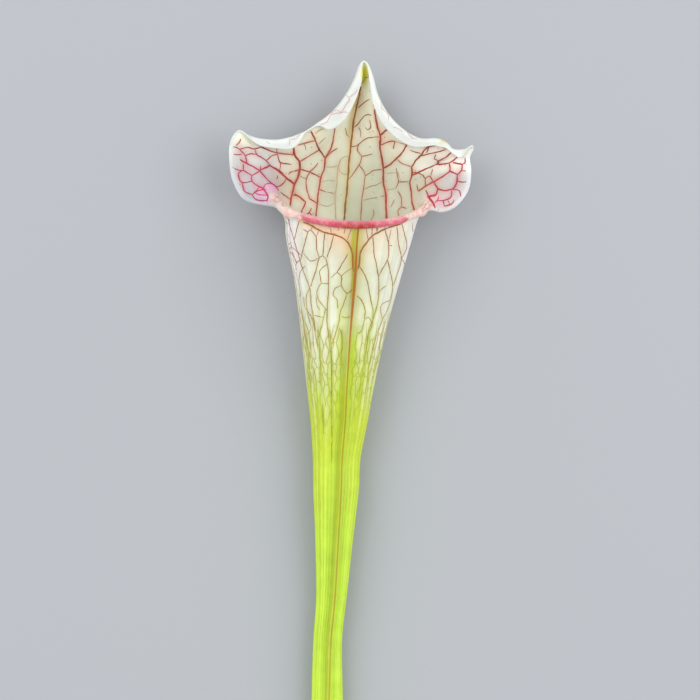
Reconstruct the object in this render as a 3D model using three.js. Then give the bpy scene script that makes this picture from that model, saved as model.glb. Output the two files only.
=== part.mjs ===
// A picked trumpet pitcher lying on its back: one leaf grown into a hollow trumpet, with a wing down
// its front, a rolled lip across the mouth and a hood with two side lobes behind it.
// Millimetres. The leaf lies along +Y with the cut stalk at -Y, and its mouth faces up, along +Z.
import * as THREE from "three";

// Every point is found by its angle round the leaf, in degrees: 0 is the middle of the back, 180 is
// the seam down the front, and positive angles lie towards +X. In y, 0 is the level of the lip.

// The middle of the leaf's own box, which becomes the origin
const MIDDLE_X = 0.7;
const MIDDLE_Y = -84;

// The blade
const WALL = 0.8;
const CUT_END_Y = -224;
const HOLLOW_END_Y = -158;
const HOLLOW_TAPER = 46;
const HOLLOW_TIP = 0.05;

// The tube, from the cut stalk up to the flare behind the mouth: y, middle in x, half-width
const TUBE = [
  [-224, -8.5, 5.0],
  [-168, -8.05, 5.2],
  [-148, -7.9, 4.8],
  [-133, -6.6, 5.1],
  [-112, -5.6, 6.4],
  [-94, -4.9, 7.8],
  [-84, -4.7, 8.1],
  [-70, -3.8, 9.9],
  [-61, -3.5, 11.2],
  [-45, -2.7, 13.7],
  [-34, -2.0, 15.6],
  [-20, -0.95, 18.5],
  [-6, -0.3, 21.9],
  [0, 0.4, 23.0],
  [6, 0.4, 25.5],
  [14, 0.4, 27.8],
];

// How deep the tube is, front to back, as a share of its width
const DEPTH_SHARE = [
  [-224, 0.88],
  [-150, 0.95],
  [-60, 0.96],
  [-6, 0.88],
  [0, 0.87],
  [14, 0.74],
];

// How far the seam has turned towards +X, in degrees
const TWIST = [
  [-224, 2],
  [-168, 5],
  [-150, 8.5],
  [-126, 8.5],
  [-80, 10],
  [-45, 9],
  [0, 7.5],
  [14, 7.5],
];

// The leaf rests on a flat under the neck and one under the cut end, and its back arches between them
const NECK_FLAT = { from: -42, to: -30, depth: 0.75 };
const FOOT_FLAT = { from: -212, to: -200, depth: 0.3 };
const ARCH = { from: -206, to: -36, height: 2.2 };

// The wing down the front: y, height
const WING = [
  [-224, 2.6],
  [-168, 3.2],
  [-120, 3.6],
  [-60, 2.6],
  [-20, 1.0],
  [-6, 0],
  [14, 0],
];
const WING_TOP = 0.3;
const WING_FOOT = 0.8;

// Raised ribs along the back of the tube and the hood, one every RIB_STEP degrees
const RIB_STEP = 14;
const RIB_HALF_WIDTH = 3.5;
const RIB_HEIGHT = 0.3;
const KEEL_HEIGHT = 0.6;

// The rim of the mouth is a slanting ring: y = middle + rise cos(angle) + lean sin(angle)
const RIM = { middle: 6, rise: 8, lean: 0.3 };

// The rolled lip along the front of the mouth, and how wide it rolls where it meets the hood
const LIP = { radius: 0.78, turn: 215, wall: 5.5, earRadius: 1.5, evenFrom: 125 };

// The hood turns into the lip between these angles, on both sides, and its foot sinks on the way
const EAR = { sinksFrom: 74, from: 90, to: 112 };

// The hood's outline as seen from above, and its height: angle, x, y, z
const CREST = [
  [-112, -25.5, 8.5, 25.5],
  [-102, -27.6, 6.6, 22.5],
  [-96, -29.8, 5.3, 20.5],
  [-90, -34.0, 5.8, 18.5],
  [-84, -38.2, 8.4, 17.5],
  [-78, -41.4, 15.0, 17.5],
  [-72, -42.3, 22.6, 18.5],
  [-67, -41.7, 28.0, 20.5],
  [-63, -39.2, 31.4, 21.5],
  [-58, -36.2, 29.7, 20],
  [-52, -31.5, 28.5, 17.5],
  [-44, -24.5, 28.5, 14.5],
  [-36, -17.3, 30.7, 13],
  [-28, -10.8, 34.8, 12.6],
  [-20, -5.2, 39.4, 13.2],
  [-12, -0.5, 45.8, 14.4],
  [-6, 2.1, 51.2, 15.4],
  [-2, 3.5, 54.9, 16],
  [0, 4.9, 56.2, 16.2],
  [2, 6.4, 55.0, 16],
  [6, 8.1, 50.6, 15.2],
  [12, 9.8, 44.2, 14],
  [20, 13.4, 37.6, 12.9],
  [28, 18.6, 32.2, 12.9],
  [36, 24.7, 28.8, 14.5],
  [43, 31.2, 28.5, 18],
  [47, 34.3, 26.9, 18.5],
  [50.5, 36.0, 25.1, 17.5],
  [57, 39.8, 24.9, 16.8],
  [63, 43.2, 26.2, 17.6],
  [65.5, 43.4, 24.9, 17.6],
  [69, 42.0, 22.0, 17.2],
  [73, 42.5, 17.6, 17.2],
  [79, 41.4, 10.6, 17.2],
  [85, 37.2, 5.0, 17.5],
  [90, 32.6, 2.7, 18.5],
  [96, 29.2, 3.2, 20.2],
  [104, 27.4, 4.8, 23],
  [112, 25.0, 6.8, 25.5],
];

// How steeply the hood rises towards its outline: angle to either side, rise over run
const CREST_SLOPE = [
  [0, 0.9],
  [12, 0.5],
  [50, 0.55],
  [62, 0.25],
  [76, -0.15],
  [90, -0.6],
  [112, -0.6],
];

// How far the hood's margin turns over towards the front, in degrees, and how wide a flap it leaves
const FOLD = [
  [-112, -150, 0.4],
  [-100, -110, 0.4],
  [-91, -30, 0.4],
  [-82, 25, 0.4],
  [-69, 25, 0.4],
  [-63, 50, 0.5],
  [-56, 150, 1.5],
  [-47, 170, 1.7],
  [-41, 170, 2.6],
  [-37.5, 150, 1.4],
  [-34.5, 80, 0.3],
  [-31, 80, 0.3],
  [-28, 150, 0.5],
  [-25, 170, 3.2],
  [-20, 170, 4.8],
  [-15, 170, 5.2],
  [-10, 168, 4.0],
  [-6, 155, 1.8],
  [-3, 118, 0.5],
  [0, 70, 0.3],
  [4, 110, 0.3],
  [8, 150, 0.8],
  [14, 170, 1.9],
  [20, 170, 2.5],
  [34, 170, 2.3],
  [40, 170, 1.8],
  [45, 160, 1.2],
  [48, 130, 0.6],
  [51, 120, 0.8],
  [57, 145, 1.9],
  [63, 60, 0.5],
  [68, 25, 0.4],
  [82, 25, 0.4],
  [91, -30, 0.4],
  [100, -110, 0.4],
  [112, -150, 0.4],
];
const FOLD_RADIUS = 1.0;
const SHORTEST_FOLD = 1.2;
const STRAIGHT = 0.001;

// How far the hood's curve keeps the direction of the tube below it and of its outline above it, as
// shares of its length, and how square to the outline it ends: angle to either side, three shares
const BEND = [
  [0, 0.4, 0.04, 0.1],
  [8, 0.4, 0.1, 0.2],
  [24, 0.4, 0.3, 0.4],
  [46, 0.4, 0.3, 0.4],
  [58, 0.35, 0.12, 0.25],
  [66, 0.35, 0.15, 0.3],
  [78, 0.4, 0.36, 0.45],
  [90, 0.4, 0.36, 0.5],
  [112, 0.36, 0.3, 0.5],
];
const TANGENT_STEP = 3;
const CLIMB_STEP = 1.5;

// The grid: columns round the leaf on one side, then rows along the tube, the hood and its margin
const SIDE_ANGLES = [
  ...[2, 4, 7],
  ...steps(11, 56, 11),
  ...[59.5, 63, 65.5, 69],
  ...steps(73, 109, 10),
  ...steps(115, 161, 7),
];
const TUBE_ROWS = 18;
const HOOD_ROWS = 9;
const FOLD_ROWS = 4;
const FLAP_ROWS = 2;
const COLLAR_ROWS = HOOD_ROWS + FOLD_ROWS + FLAP_ROWS;
const LIP_WALL_ROWS = 7;
const EVENING_PASSES = 5;

// A number list from first to last with even steps
function steps(first, last, count) {
  return Array.from({ length: count }, (_, i) => first + ((last - first) * i) / (count - 1));
}

// A smooth curve through rows of [t, ...values], read at one t
function through(rows, t) {
  const last = rows.length - 1;
  let at = 0;
  while (at < last - 1 && t > rows[at + 1][0]) {
    at += 1;
  }
  const span = rows[at + 1][0] - rows[at][0];
  const u = THREE.MathUtils.clamp((t - rows[at][0]) / span, 0, 1);
  const pace = (row, k) => {
    const before = rows[Math.max(row - 1, 0)];
    const after = rows[Math.min(row + 1, last)];
    return ((after[k] - before[k]) / (after[0] - before[0])) * span;
  };
  return rows[at].slice(1).map((start, i) => {
    const end = rows[at + 1][i + 1];
    const out = pace(at, i + 1);
    const into = pace(at + 1, i + 1);
    const bend = 3 * (end - start) - 2 * out - into;
    const settle = 2 * (start - end) + out + into;
    return start + u * (out + u * (bend + u * settle));
  });
}

function ease(from, to, value) {
  return THREE.MathUtils.smoothstep(value, from, to);
}

// The middle surface of the tube
function tubePoint(angle, y) {
  const [middle, width] = through(TUBE, y);
  const [share] = through(DEPTH_SHARE, y);
  const [twist] = through(TWIST, y);
  const halfWidth = width - WALL / 2;
  const halfDepth = width * share - WALL / 2;
  const arch = Math.sin(Math.PI * THREE.MathUtils.clamp((y - ARCH.from) / (ARCH.to - ARCH.from), 0, 1));
  const neck = NECK_FLAT.depth * ease(NECK_FLAT.from, NECK_FLAT.to, y);
  const foot = FOOT_FLAT.depth * (1 - ease(FOOT_FLAT.from, FOOT_FLAT.to, y));
  const axis = halfDepth + WALL / 2 + ARCH.height * arch ** 2 - neck - foot;
  const turned = THREE.MathUtils.degToRad(angle - twist);
  return new THREE.Vector3(middle + halfWidth * Math.sin(turned), y, axis - halfDepth * Math.cos(turned));
}

function tubeAxis(y) {
  const back = tubePoint(0, y);
  return back.lerp(tubePoint(180, y), 0.5);
}

// The direction in which the tube's wall climbs at the rim
function climb(angle, y) {
  return tubePoint(angle, y + CLIMB_STEP).sub(tubePoint(angle, y - CLIMB_STEP)).normalize();
}

function rimY(angle) {
  const turned = THREE.MathUtils.degToRad(angle);
  return RIM.middle + RIM.rise * Math.cos(turned) + RIM.lean * Math.sin(turned);
}

// Where the tube's rows end and the collar of hood and lip begins: lower where the lip is
function collarY(angle) {
  return rimY(angle) - LIP.wall * ease(EAR.sinksFrom, EAR.to, Math.abs(angle));
}

function crestPoint(angle) {
  return new THREE.Vector3(...through(CREST, angle));
}

function crestTangent(angle) {
  return crestPoint(angle + TANGENT_STEP).sub(crestPoint(angle - TANGENT_STEP)).normalize();
}

// The hood's direction where it crosses its outline: between the straight line from the tube and the
// direction square to the outline, with a set rise
function crestDirection(angle) {
  const along = crestTangent(angle);
  const square = new THREE.Vector3(-along.y, along.x, 0).normalize();
  const straight = crestPoint(angle).sub(tubePoint(angle, collarY(angle))).setZ(0).normalize();
  const [slope] = through(CREST_SLOPE, Math.abs(angle));
  const [, , squareness] = through(BEND, Math.abs(angle));
  return straight.lerp(square, squareness).normalize().setZ(slope).normalize();
}

// A flat strip that starts along `forward`, turns by `turn` degrees over `bendLength` towards `side`
// and then runs straight: its points as [distance forward, distance to the side], one for each row
function foldProfile(turn, bendLength, flap, bendRows, flapRows) {
  const profile = [];
  const whole = THREE.MathUtils.degToRad(turn) || STRAIGHT;
  const radius = bendLength / whole;
  for (let i = 1; i <= bendRows; i += 1) {
    const done = (whole * i) / bendRows;
    profile.push([radius * Math.sin(done), radius * (1 - Math.cos(done))]);
  }
  const [ahead, aside] = profile[bendRows - 1];
  for (let i = 1; i <= flapRows; i += 1) {
    const run = (flap * i) / flapRows;
    profile.push([ahead + run * Math.cos(whole), aside + run * Math.sin(whole)]);
  }
  return profile;
}

// One column of the hood: a curve that leaves the tube as its wall climbs and reaches the outline,
// and the margin that turns over there
function hoodColumn(angle) {
  const crest = crestPoint(angle);
  const direction = crestDirection(angle);
  const front = new THREE.Vector3().crossVectors(crestTangent(angle), direction).normalize();
  const [turn, flap] = through(FOLD, angle);
  const bendLength = Math.max(SHORTEST_FOLD, FOLD_RADIUS * THREE.MathUtils.degToRad(Math.abs(turn)));
  const profile = foldProfile(turn, bendLength, flap, FOLD_ROWS, FLAP_ROWS);
  const reach = Math.max(...profile.map(([ahead]) => ahead));
  const start = tubePoint(angle, collarY(angle));
  const end = crest.clone().addScaledVector(direction, -reach);
  const span = start.distanceTo(end);
  const [startReach, endReach] = through(BEND, Math.abs(angle));
  const curve = new THREE.CubicBezierCurve3(
    start,
    start.clone().addScaledVector(climb(angle, collarY(angle)), startReach * span),
    end.clone().addScaledVector(direction, -endReach * span),
    end,
  );
  const blade = steps(1 / HOOD_ROWS, 1, HOOD_ROWS).map((t) => curve.getPoint(t));
  const margin = profile.map(([ahead, aside]) =>
    end.clone().addScaledVector(direction, ahead).addScaledVector(front, aside),
  );
  return [...blade, ...margin];
}

// One column of the lip: the tube's wall up to the rim, then a roll that turns outwards
function lipColumn(angle) {
  const rim = rimY(angle);
  const low = collarY(angle);
  const wall = steps(low + (rim - low) / LIP_WALL_ROWS, rim, LIP_WALL_ROWS).map((y) => tubePoint(angle, y));
  const up = climb(angle, rim);
  const out = tubePoint(angle, rim).sub(tubeAxis(rim)).setY(0);
  out.addScaledVector(up, -out.dot(up)).normalize();
  const even = ease(EAR.to, LIP.evenFrom, Math.abs(angle));
  const radius = THREE.MathUtils.lerp(LIP.earRadius, LIP.radius, even);
  const bend = radius * THREE.MathUtils.degToRad(LIP.turn);
  const roll = foldProfile(LIP.turn, bend, 0, COLLAR_ROWS - LIP_WALL_ROWS, 0).map(([ahead, aside]) =>
    wall[LIP_WALL_ROWS - 1].clone().addScaledVector(up, ahead).addScaledVector(out, aside),
  );
  return [...wall, ...roll];
}

// How far along a path each of its points lies, as a share of the path's length
function lengthShares(path) {
  const reached = [0];
  for (let i = 1; i < path.length; i += 1) {
    reached.push(reached[i - 1] + path[i].distanceTo(path[i - 1]));
  }
  return reached.map((length) => length / reached[path.length - 1]);
}

function pointAt(path, shares, share) {
  const after = Math.max(1, shares.findIndex((reached) => reached >= Math.min(share, 1)));
  const part = (share - shares[after - 1]) / (shares[after] - shares[after - 1]);
  return path[after - 1].clone().lerp(path[after], part);
}

// The collar above the tube: hood behind the mouth, lip in front, and one turning into the other
function collarColumn(angle) {
  const asLip = ease(EAR.from, EAR.to, Math.abs(angle));
  if (asLip === 0) {
    return hoodColumn(angle);
  }
  if (asLip === 1) {
    return lipColumn(angle);
  }
  const start = tubePoint(angle, collarY(angle));
  const hood = [start, ...hoodColumn(angle)];
  const lip = [start, ...lipColumn(angle)];
  const hoodShares = lengthShares(hood);
  const lipShares = lengthShares(lip);
  return steps(1, COLLAR_ROWS, COLLAR_ROWS).map((row) => {
    const share = THREE.MathUtils.lerp(hoodShares[row], lipShares[row], asLip);
    return pointAt(hood, hoodShares, share).lerp(pointAt(lip, lipShares, share), asLip);
  });
}

// The columns round the leaf, in order: a fixed angle, or a distance beside the seam for the wing
function columnList() {
  const right = SIDE_ANGLES.map((angle) => ({ angle, beside: 0, raised: false }));
  const left = SIDE_ANGLES.map((angle) => ({ angle: -angle, beside: 0, raised: false })).reverse();
  const wing = [-WING_FOOT, -WING_TOP, 0, WING_TOP, WING_FOOT].map((beside) => ({
    angle: 180,
    beside,
    raised: Math.abs(beside) < WING_FOOT,
  }));
  return [{ angle: 0, beside: 0, raised: false }, ...right, ...wing, ...left];
}

function columnAngle(column, y) {
  const [, width] = through(TUBE, y);
  const angle = column.angle + THREE.MathUtils.radToDeg(column.beside / width);
  return angle > 180 ? angle - 360 : angle;
}

// The middle surface as a grid: one array of points per column, from the cut end to the margin
function middleSurface(columns) {
  return columns.map((column) => {
    const top = columnAngle(column, collarY(column.angle));
    const tube = steps(CUT_END_Y, collarY(top), TUBE_ROWS).map((y) => tubePoint(columnAngle(column, y), y));
    return [...tube, ...collarColumn(top)];
  });
}

// The outward direction at each point of the grid, from its neighbours up and across
function outwardDirections(grid) {
  const count = grid.length;
  const last = grid[0].length - 1;
  return grid.map((points, i) =>
    points.map((point, j) => {
      const up = points[Math.min(j + 1, last)].clone().sub(points[Math.max(j - 1, 0)]);
      const across = grid[(i + 1) % count][j].clone().sub(grid[(i + count - 1) % count][j]);
      return up.cross(across).normalize();
    }),
  );
}

// The same directions, each one evened out with its four neighbours
function evened(directions) {
  const count = directions.length;
  const last = directions[0].length - 1;
  return directions.map((column, i) =>
    column.map((direction, j) =>
      direction
        .clone()
        .multiplyScalar(2)
        .add(column[Math.min(j + 1, last)])
        .add(column[Math.max(j - 1, 0)])
        .add(directions[(i + 1) % count][j])
        .add(directions[(i + count - 1) % count][j])
        .normalize(),
    ),
  );
}

// How far the outer face is raised: the wing, the ribs and the keel down the middle of the back
function relief(column, y) {
  if (column.raised) {
    return through(WING, y)[0];
  }
  const fromRib = Math.abs(column.angle) % RIB_STEP;
  const nearness = Math.max(0, 1 - Math.min(fromRib, RIB_STEP - fromRib) / RIB_HALF_WIDTH);
  return column.angle === 0 ? KEEL_HEIGHT : RIB_HEIGHT * nearness;
}

function outerFace(columns, grid, directions) {
  return grid.map((points, i) =>
    points.map((point, j) => {
      const height = WALL / 2 + (j < TUBE_ROWS + HOOD_ROWS ? relief(columns[i], point.y) : 0);
      const placed = point.clone().addScaledVector(directions[i][j], height);
      placed.y = j === 0 ? CUT_END_Y : placed.y;
      placed.z = Math.max(placed.z, 0);
      return placed;
    }),
  );
}

// The inner face stands one wall inside, keeps a full wall over the flats, and closes as it tapers
function innerFace(grid, directions) {
  return grid.map((points, i) =>
    points.map((point, j) => {
      const placed = point.clone().addScaledVector(directions[i][j], -WALL / 2);
      placed.z = Math.max(placed.z, WALL);
      if (j < TUBE_ROWS) {
        const open = THREE.MathUtils.clamp((point.y - HOLLOW_END_Y) / HOLLOW_TAPER, HOLLOW_TIP, 1);
        placed.lerp(tubeAxis(point.y).setY(placed.y), 1 - Math.sqrt(open));
      }
      return placed;
    }),
  );
}

// One closed body: outer face, margin's edge, inner face, the hollow's closed end and the cut end
function pitcherGeometry() {
  const columns = columnList();
  const grid = middleSurface(columns);
  let directions = outwardDirections(grid);
  for (let pass = 0; pass < EVENING_PASSES; pass += 1) {
    directions = evened(directions);
  }
  const outer = outerFace(columns, grid, directions);
  const inner = innerFace(grid, directions);
  const firstHollowRow = grid[0].findIndex((point) => point.y > HOLLOW_END_Y);
  const rings = [];
  for (let j = 0; j < grid[0].length; j += 1) {
    rings.push(outer.map((points) => points[j]));
  }
  for (let j = grid[0].length - 1; j >= firstHollowRow; j -= 1) {
    rings.push(inner.map((points) => points[j]));
  }
  const around = columns.length;
  const cutMiddle = tubeAxis(CUT_END_Y);
  const hollowEnd = tubeAxis(HOLLOW_END_Y);
  const points = [...rings.flat(), cutMiddle, hollowEnd];
  const cutIndex = rings.length * around;
  const endIndex = cutIndex + 1;
  const faces = [];
  for (let i = 0; i < around; i += 1) {
    const next = (i + 1) % around;
    faces.push(cutIndex, i, next);
    for (let ring = 0; ring < rings.length - 1; ring += 1) {
      const here = ring * around;
      const above = here + around;
      faces.push(here + i, above + i, above + next);
      faces.push(here + i, above + next, here + next);
    }
    const end = (rings.length - 1) * around;
    faces.push(end + next, end + i, endIndex);
  }
  const geometry = new THREE.BufferGeometry();
  geometry.setAttribute("position", new THREE.Float32BufferAttribute(points.flatMap((p) => p.toArray()), 3));
  geometry.setIndex(faces);
  geometry.computeVertexNormals();
  return geometry;
}

const leafBlade = new THREE.MeshStandardMaterial({ color: "#c9dd9a", roughness: 0.55, metalness: 0 });

const pitcher = new THREE.Mesh(pitcherGeometry(), leafBlade);
pitcher.name = "pitcher";
pitcher.position.set(-MIDDLE_X, -MIDDLE_Y, 0);

const plant = new THREE.Group();
plant.add(pitcher);

export default plant;
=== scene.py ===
"""A picked trumpet pitcher lying on its back: the leaf, its net of veins and its rolled lip."""

import logging
import math
from dataclasses import dataclass, field
from enum import Enum
from typing import Sequence

import bpy
import numpy as np
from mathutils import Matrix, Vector


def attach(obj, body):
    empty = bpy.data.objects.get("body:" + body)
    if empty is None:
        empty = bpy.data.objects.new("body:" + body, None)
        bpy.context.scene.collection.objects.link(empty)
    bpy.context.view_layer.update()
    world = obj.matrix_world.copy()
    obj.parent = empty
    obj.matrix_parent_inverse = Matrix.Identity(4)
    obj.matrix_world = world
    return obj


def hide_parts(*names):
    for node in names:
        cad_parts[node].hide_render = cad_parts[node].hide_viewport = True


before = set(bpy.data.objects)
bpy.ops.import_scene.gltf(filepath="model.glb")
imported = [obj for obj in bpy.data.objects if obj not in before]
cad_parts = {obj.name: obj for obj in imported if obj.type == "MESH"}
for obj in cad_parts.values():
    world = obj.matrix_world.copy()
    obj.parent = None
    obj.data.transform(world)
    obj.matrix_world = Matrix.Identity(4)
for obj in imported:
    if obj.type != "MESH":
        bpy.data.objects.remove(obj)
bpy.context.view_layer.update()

LOG = logging.getLogger("pitcher")
Array = np.ndarray
Number = Array | float
Table = tuple[tuple[float, ...], ...]
Span = tuple[float, float]
Triple = tuple[float, float, float]
Pair = tuple[Array, Array]
Socket = bpy.types.NodeSocket
Node = bpy.types.Node
MM = 0.001


def through(rows: Table, t: Number) -> Array:
    """Reads a smooth curve through rows of (t, values...).

    Formula: a cubic between neighbouring rows, whose slope at each row is that of the line from the
    row before it to the row after it.

    Args:
        rows: The rows, with t increasing.
        t: Where the curve is read, of any shape.

    Returns:
        The values, in a last axis added to the shape of t.
    """
    t = np.asarray(t, float)
    table = np.asarray(rows, float)
    x, values = table[:, 0], table[:, 1:]
    last = len(x) - 1
    order = np.arange(last + 1)
    low, high = np.maximum(order - 1, 0), np.minimum(order + 1, last)
    slope = (values[high] - values[low]) / (x[high] - x[low])[:, None]
    at = np.clip(np.searchsorted(x, t, side="left") - 1, 0, last - 1)
    span = x[at + 1] - x[at]
    u = np.clip((t - x[at]) / span, 0, 1)[..., None]
    start, end = values[at], values[at + 1]
    out, into = slope[at] * span[..., None], slope[at + 1] * span[..., None]
    bend = 3 * (end - start) - 2 * out - into
    settle = 2 * (start - end) + out + into
    return start + u * (out + u * (bend + u * settle))


def ease(low: float, high: float, value: Number) -> Array:
    """A step from 0 at low to 1 at high with no corner: 3u² - 2u³."""
    u = np.clip((np.asarray(value, float) - low) / (high - low), 0, 1)
    return u * u * (3 - 2 * u)


def unit(vectors: Array) -> Array:
    """The vectors, each divided by its length."""
    return vectors / np.maximum(np.linalg.norm(vectors, axis=-1, keepdims=True), 1e-9)


def mix(a: Number, b: Number, share: Number) -> Array:
    """a where share is 0, b where it is 1, and a straight line between."""
    return a + (b - a) * share


def bell(value: Number, width: Number) -> Array:
    """A bell curve, 1 where the value is 0: exp(-(value / width)²)."""
    return np.exp(-((value / width) ** 2))


def travelled(path: Array) -> Array:
    """How far along a path each of its points lies."""
    return np.concatenate([[0], np.cumsum(np.linalg.norm(np.diff(path, axis=0), axis=1))])


def linear(red: float, green: float, blue: float) -> tuple[float, float, float, float]:
    """A screen colour of 0 to 255 a channel as the linear colour that a shader takes."""
    parts = [c / 255 for c in (red, green, blue)]
    parts = [c / 12.92 if c <= 0.04045 else ((c + 0.055) / 1.055) ** 2.4 for c in parts]
    return (*parts, 1.0)


class Face(Enum):
    """A side of the blade: the one that looks into the mouth, or the one that looks outwards."""

    INNER = "inner"
    OUTER = "outer"


@dataclass(frozen=True)
class LeafForm:
    """The sizes of the leaf, in millimetres and degrees, and its middle surface worked out from them.

    An angle round the leaf is 0 in the middle of the back and 180 at the seam down the front. In y, 0
    is the level of the lip. A row mark runs from 0 at the cut end to 17 where the tube ends, and then
    up the hood to 26, round the turned margin to 30 and along its flap to 32.
    """

    middle_x: float = 0.7
    middle_y: float = -84
    wall: float = 0.8
    cut_end: float = -224
    hollow_end: float = -158
    hollow_taper: float = 46
    hollow_tip: float = 0.05
    tube: Table = (
        (-224, -8.5, 5.0), (-168, -8.05, 5.2), (-148, -7.9, 4.8), (-133, -6.6, 5.1), (-112, -5.6, 6.4),
        (-94, -4.9, 7.8), (-84, -4.7, 8.1), (-70, -3.8, 9.9), (-61, -3.5, 11.2), (-45, -2.7, 13.7),
        (-34, -2.0, 15.6), (-20, -0.95, 18.5), (-6, -0.3, 21.9), (0, 0.4, 23.0), (6, 0.4, 25.5),
        (14, 0.4, 27.8),
    )
    depth_share: Table = ((-224, 0.88), (-150, 0.95), (-60, 0.96), (-6, 0.88), (0, 0.87), (14, 0.74))
    twist: Table = (
        (-224, 2), (-168, 5), (-150, 8.5), (-126, 8.5), (-80, 10), (-45, 9), (0, 7.5), (14, 7.5),
    )
    neck_flat: Triple = (-42, -30, 0.75)
    foot_flat: Triple = (-212, -200, 0.3)
    arch: Triple = (-206, -36, 2.2)
    wing: Table = ((-224, 2.6), (-168, 3.2), (-120, 3.6), (-60, 2.6), (-20, 1.0), (-6, 0), (14, 0))
    wing_top: float = 0.3
    wing_foot: float = 0.8
    rib_step: float = 14
    rib_half_width: float = 3.5
    rib_height: float = 0.3
    keel_height: float = 0.6
    rim: Triple = (6, 8, 0.3)
    lip_radius: float = 0.78
    lip_turn: float = 215
    lip_wall: float = 5.5
    lip_ear_radius: float = 1.5
    lip_even_from: float = 125
    ear_sinks: float = 74
    ear_from: float = 90
    ear_to: float = 112
    crest: Table = (
        (-112, -25.5, 8.5, 25.5), (-102, -27.6, 6.6, 22.5), (-96, -29.8, 5.3, 20.5), (-90, -34.0, 5.8, 18.5),
        (-84, -38.2, 8.4, 17.5), (-78, -41.4, 15.0, 17.5), (-72, -42.3, 22.6, 18.5), (-67, -41.7, 28.0, 20.5),
        (-63, -39.2, 31.4, 21.5), (-58, -36.2, 29.7, 20), (-52, -31.5, 28.5, 17.5), (-44, -24.5, 28.5, 14.5),
        (-36, -17.3, 30.7, 13), (-28, -10.8, 34.8, 12.6), (-20, -5.2, 39.4, 13.2), (-12, -0.5, 45.8, 14.4),
        (-6, 2.1, 51.2, 15.4), (-2, 3.5, 54.9, 16), (0, 4.9, 56.2, 16.2), (2, 6.4, 55.0, 16),
        (6, 8.1, 50.6, 15.2), (12, 9.8, 44.2, 14), (20, 13.4, 37.6, 12.9), (28, 18.6, 32.2, 12.9),
        (36, 24.7, 28.8, 14.5), (43, 31.2, 28.5, 18), (47, 34.3, 26.9, 18.5), (50.5, 36.0, 25.1, 17.5),
        (57, 39.8, 24.9, 16.8), (63, 43.2, 26.2, 17.6), (65.5, 43.4, 24.9, 17.6), (69, 42.0, 22.0, 17.2),
        (73, 42.5, 17.6, 17.2), (79, 41.4, 10.6, 17.2), (85, 37.2, 5.0, 17.5), (90, 32.6, 2.7, 18.5),
        (96, 29.2, 3.2, 20.2), (104, 27.4, 4.8, 23), (112, 25.0, 6.8, 25.5),
    )
    crest_slope: Table = ((0, 0.9), (12, 0.5), (50, 0.55), (62, 0.25), (76, -0.15), (90, -0.6), (112, -0.6))
    fold: Table = (
        (-112, -150, 0.4), (-100, -110, 0.4), (-91, -30, 0.4), (-82, 25, 0.4), (-69, 25, 0.4),
        (-63, 50, 0.5), (-56, 150, 1.5), (-47, 170, 1.7), (-41, 170, 2.6), (-37.5, 150, 1.4),
        (-34.5, 80, 0.3), (-31, 80, 0.3), (-28, 150, 0.5), (-25, 170, 3.2), (-20, 170, 4.8),
        (-15, 170, 5.2), (-10, 168, 4.0), (-6, 155, 1.8), (-3, 118, 0.5), (0, 70, 0.3), (4, 110, 0.3),
        (8, 150, 0.8), (14, 170, 1.9), (20, 170, 2.5), (34, 170, 2.3), (40, 170, 1.8), (45, 160, 1.2),
        (48, 130, 0.6), (51, 120, 0.8), (57, 145, 1.9), (63, 60, 0.5), (68, 25, 0.4), (82, 25, 0.4),
        (91, -30, 0.4), (100, -110, 0.4), (112, -150, 0.4),
    )
    fold_radius: float = 1.0
    shortest_fold: float = 1.2
    straight: float = 0.001
    bend: Table = (
        (0, 0.4, 0.04, 0.1), (8, 0.4, 0.1, 0.2), (24, 0.4, 0.3, 0.4), (46, 0.4, 0.3, 0.4),
        (58, 0.35, 0.12, 0.25), (66, 0.35, 0.15, 0.3), (78, 0.4, 0.36, 0.45), (90, 0.4, 0.36, 0.5),
        (112, 0.36, 0.3, 0.5),
    )
    tangent_step: float = 3
    climb_step: float = 1.5
    tube_marks: int = 17
    hood_marks: int = 9
    fold_marks: int = 4
    flap_marks: int = 2
    lip_wall_marks: int = 7

    @property
    def collar_marks(self) -> int:
        """How many row marks the collar above the tube has."""
        return self.hood_marks + self.fold_marks + self.flap_marks

    def tube_point(self, angle: Number, y: Number) -> Array:
        """The tube's middle surface: an ellipse round an axis that arches between its two flats.

        Args:
            angle: Angle round the leaf.
            y: Place along the leaf.

        Returns:
            The points, with x, y and z in the last axis.
        """
        angle, y = np.broadcast_arrays(np.asarray(angle, float), np.asarray(y, float))
        middle, width = np.moveaxis(through(self.tube, y), -1, 0)
        half_width = width - self.wall / 2
        half_depth = width * through(self.depth_share, y)[..., 0] - self.wall / 2
        low, high, rise = self.arch
        lift = rise * np.sin(math.pi * np.clip((y - low) / (high - low), 0, 1)) ** 2
        neck = self.neck_flat[2] * ease(self.neck_flat[0], self.neck_flat[1], y)
        foot = self.foot_flat[2] * (1 - ease(self.foot_flat[0], self.foot_flat[1], y))
        axis = half_depth + self.wall / 2 + lift - neck - foot
        turned = np.radians(angle - through(self.twist, y)[..., 0])
        return np.stack([middle + half_width * np.sin(turned), y, axis - half_depth * np.cos(turned)], -1)

    def tube_axis(self, y: Number) -> Array:
        """The middle between the tube's back and its front."""
        return (self.tube_point(0, y) + self.tube_point(180, y)) / 2

    def climb(self, angle: Array, y: Array) -> Array:
        """The direction in which the tube's wall climbs."""
        return unit(self.tube_point(angle, y + self.climb_step) - self.tube_point(angle, y - self.climb_step))

    def rim_y(self, angle: Array) -> Array:
        """The rim of the mouth, a slanting ring: y = middle + rise cos(angle) + lean sin(angle)."""
        turned = np.radians(angle)
        return self.rim[0] + self.rim[1] * np.cos(turned) + self.rim[2] * np.sin(turned)

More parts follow.
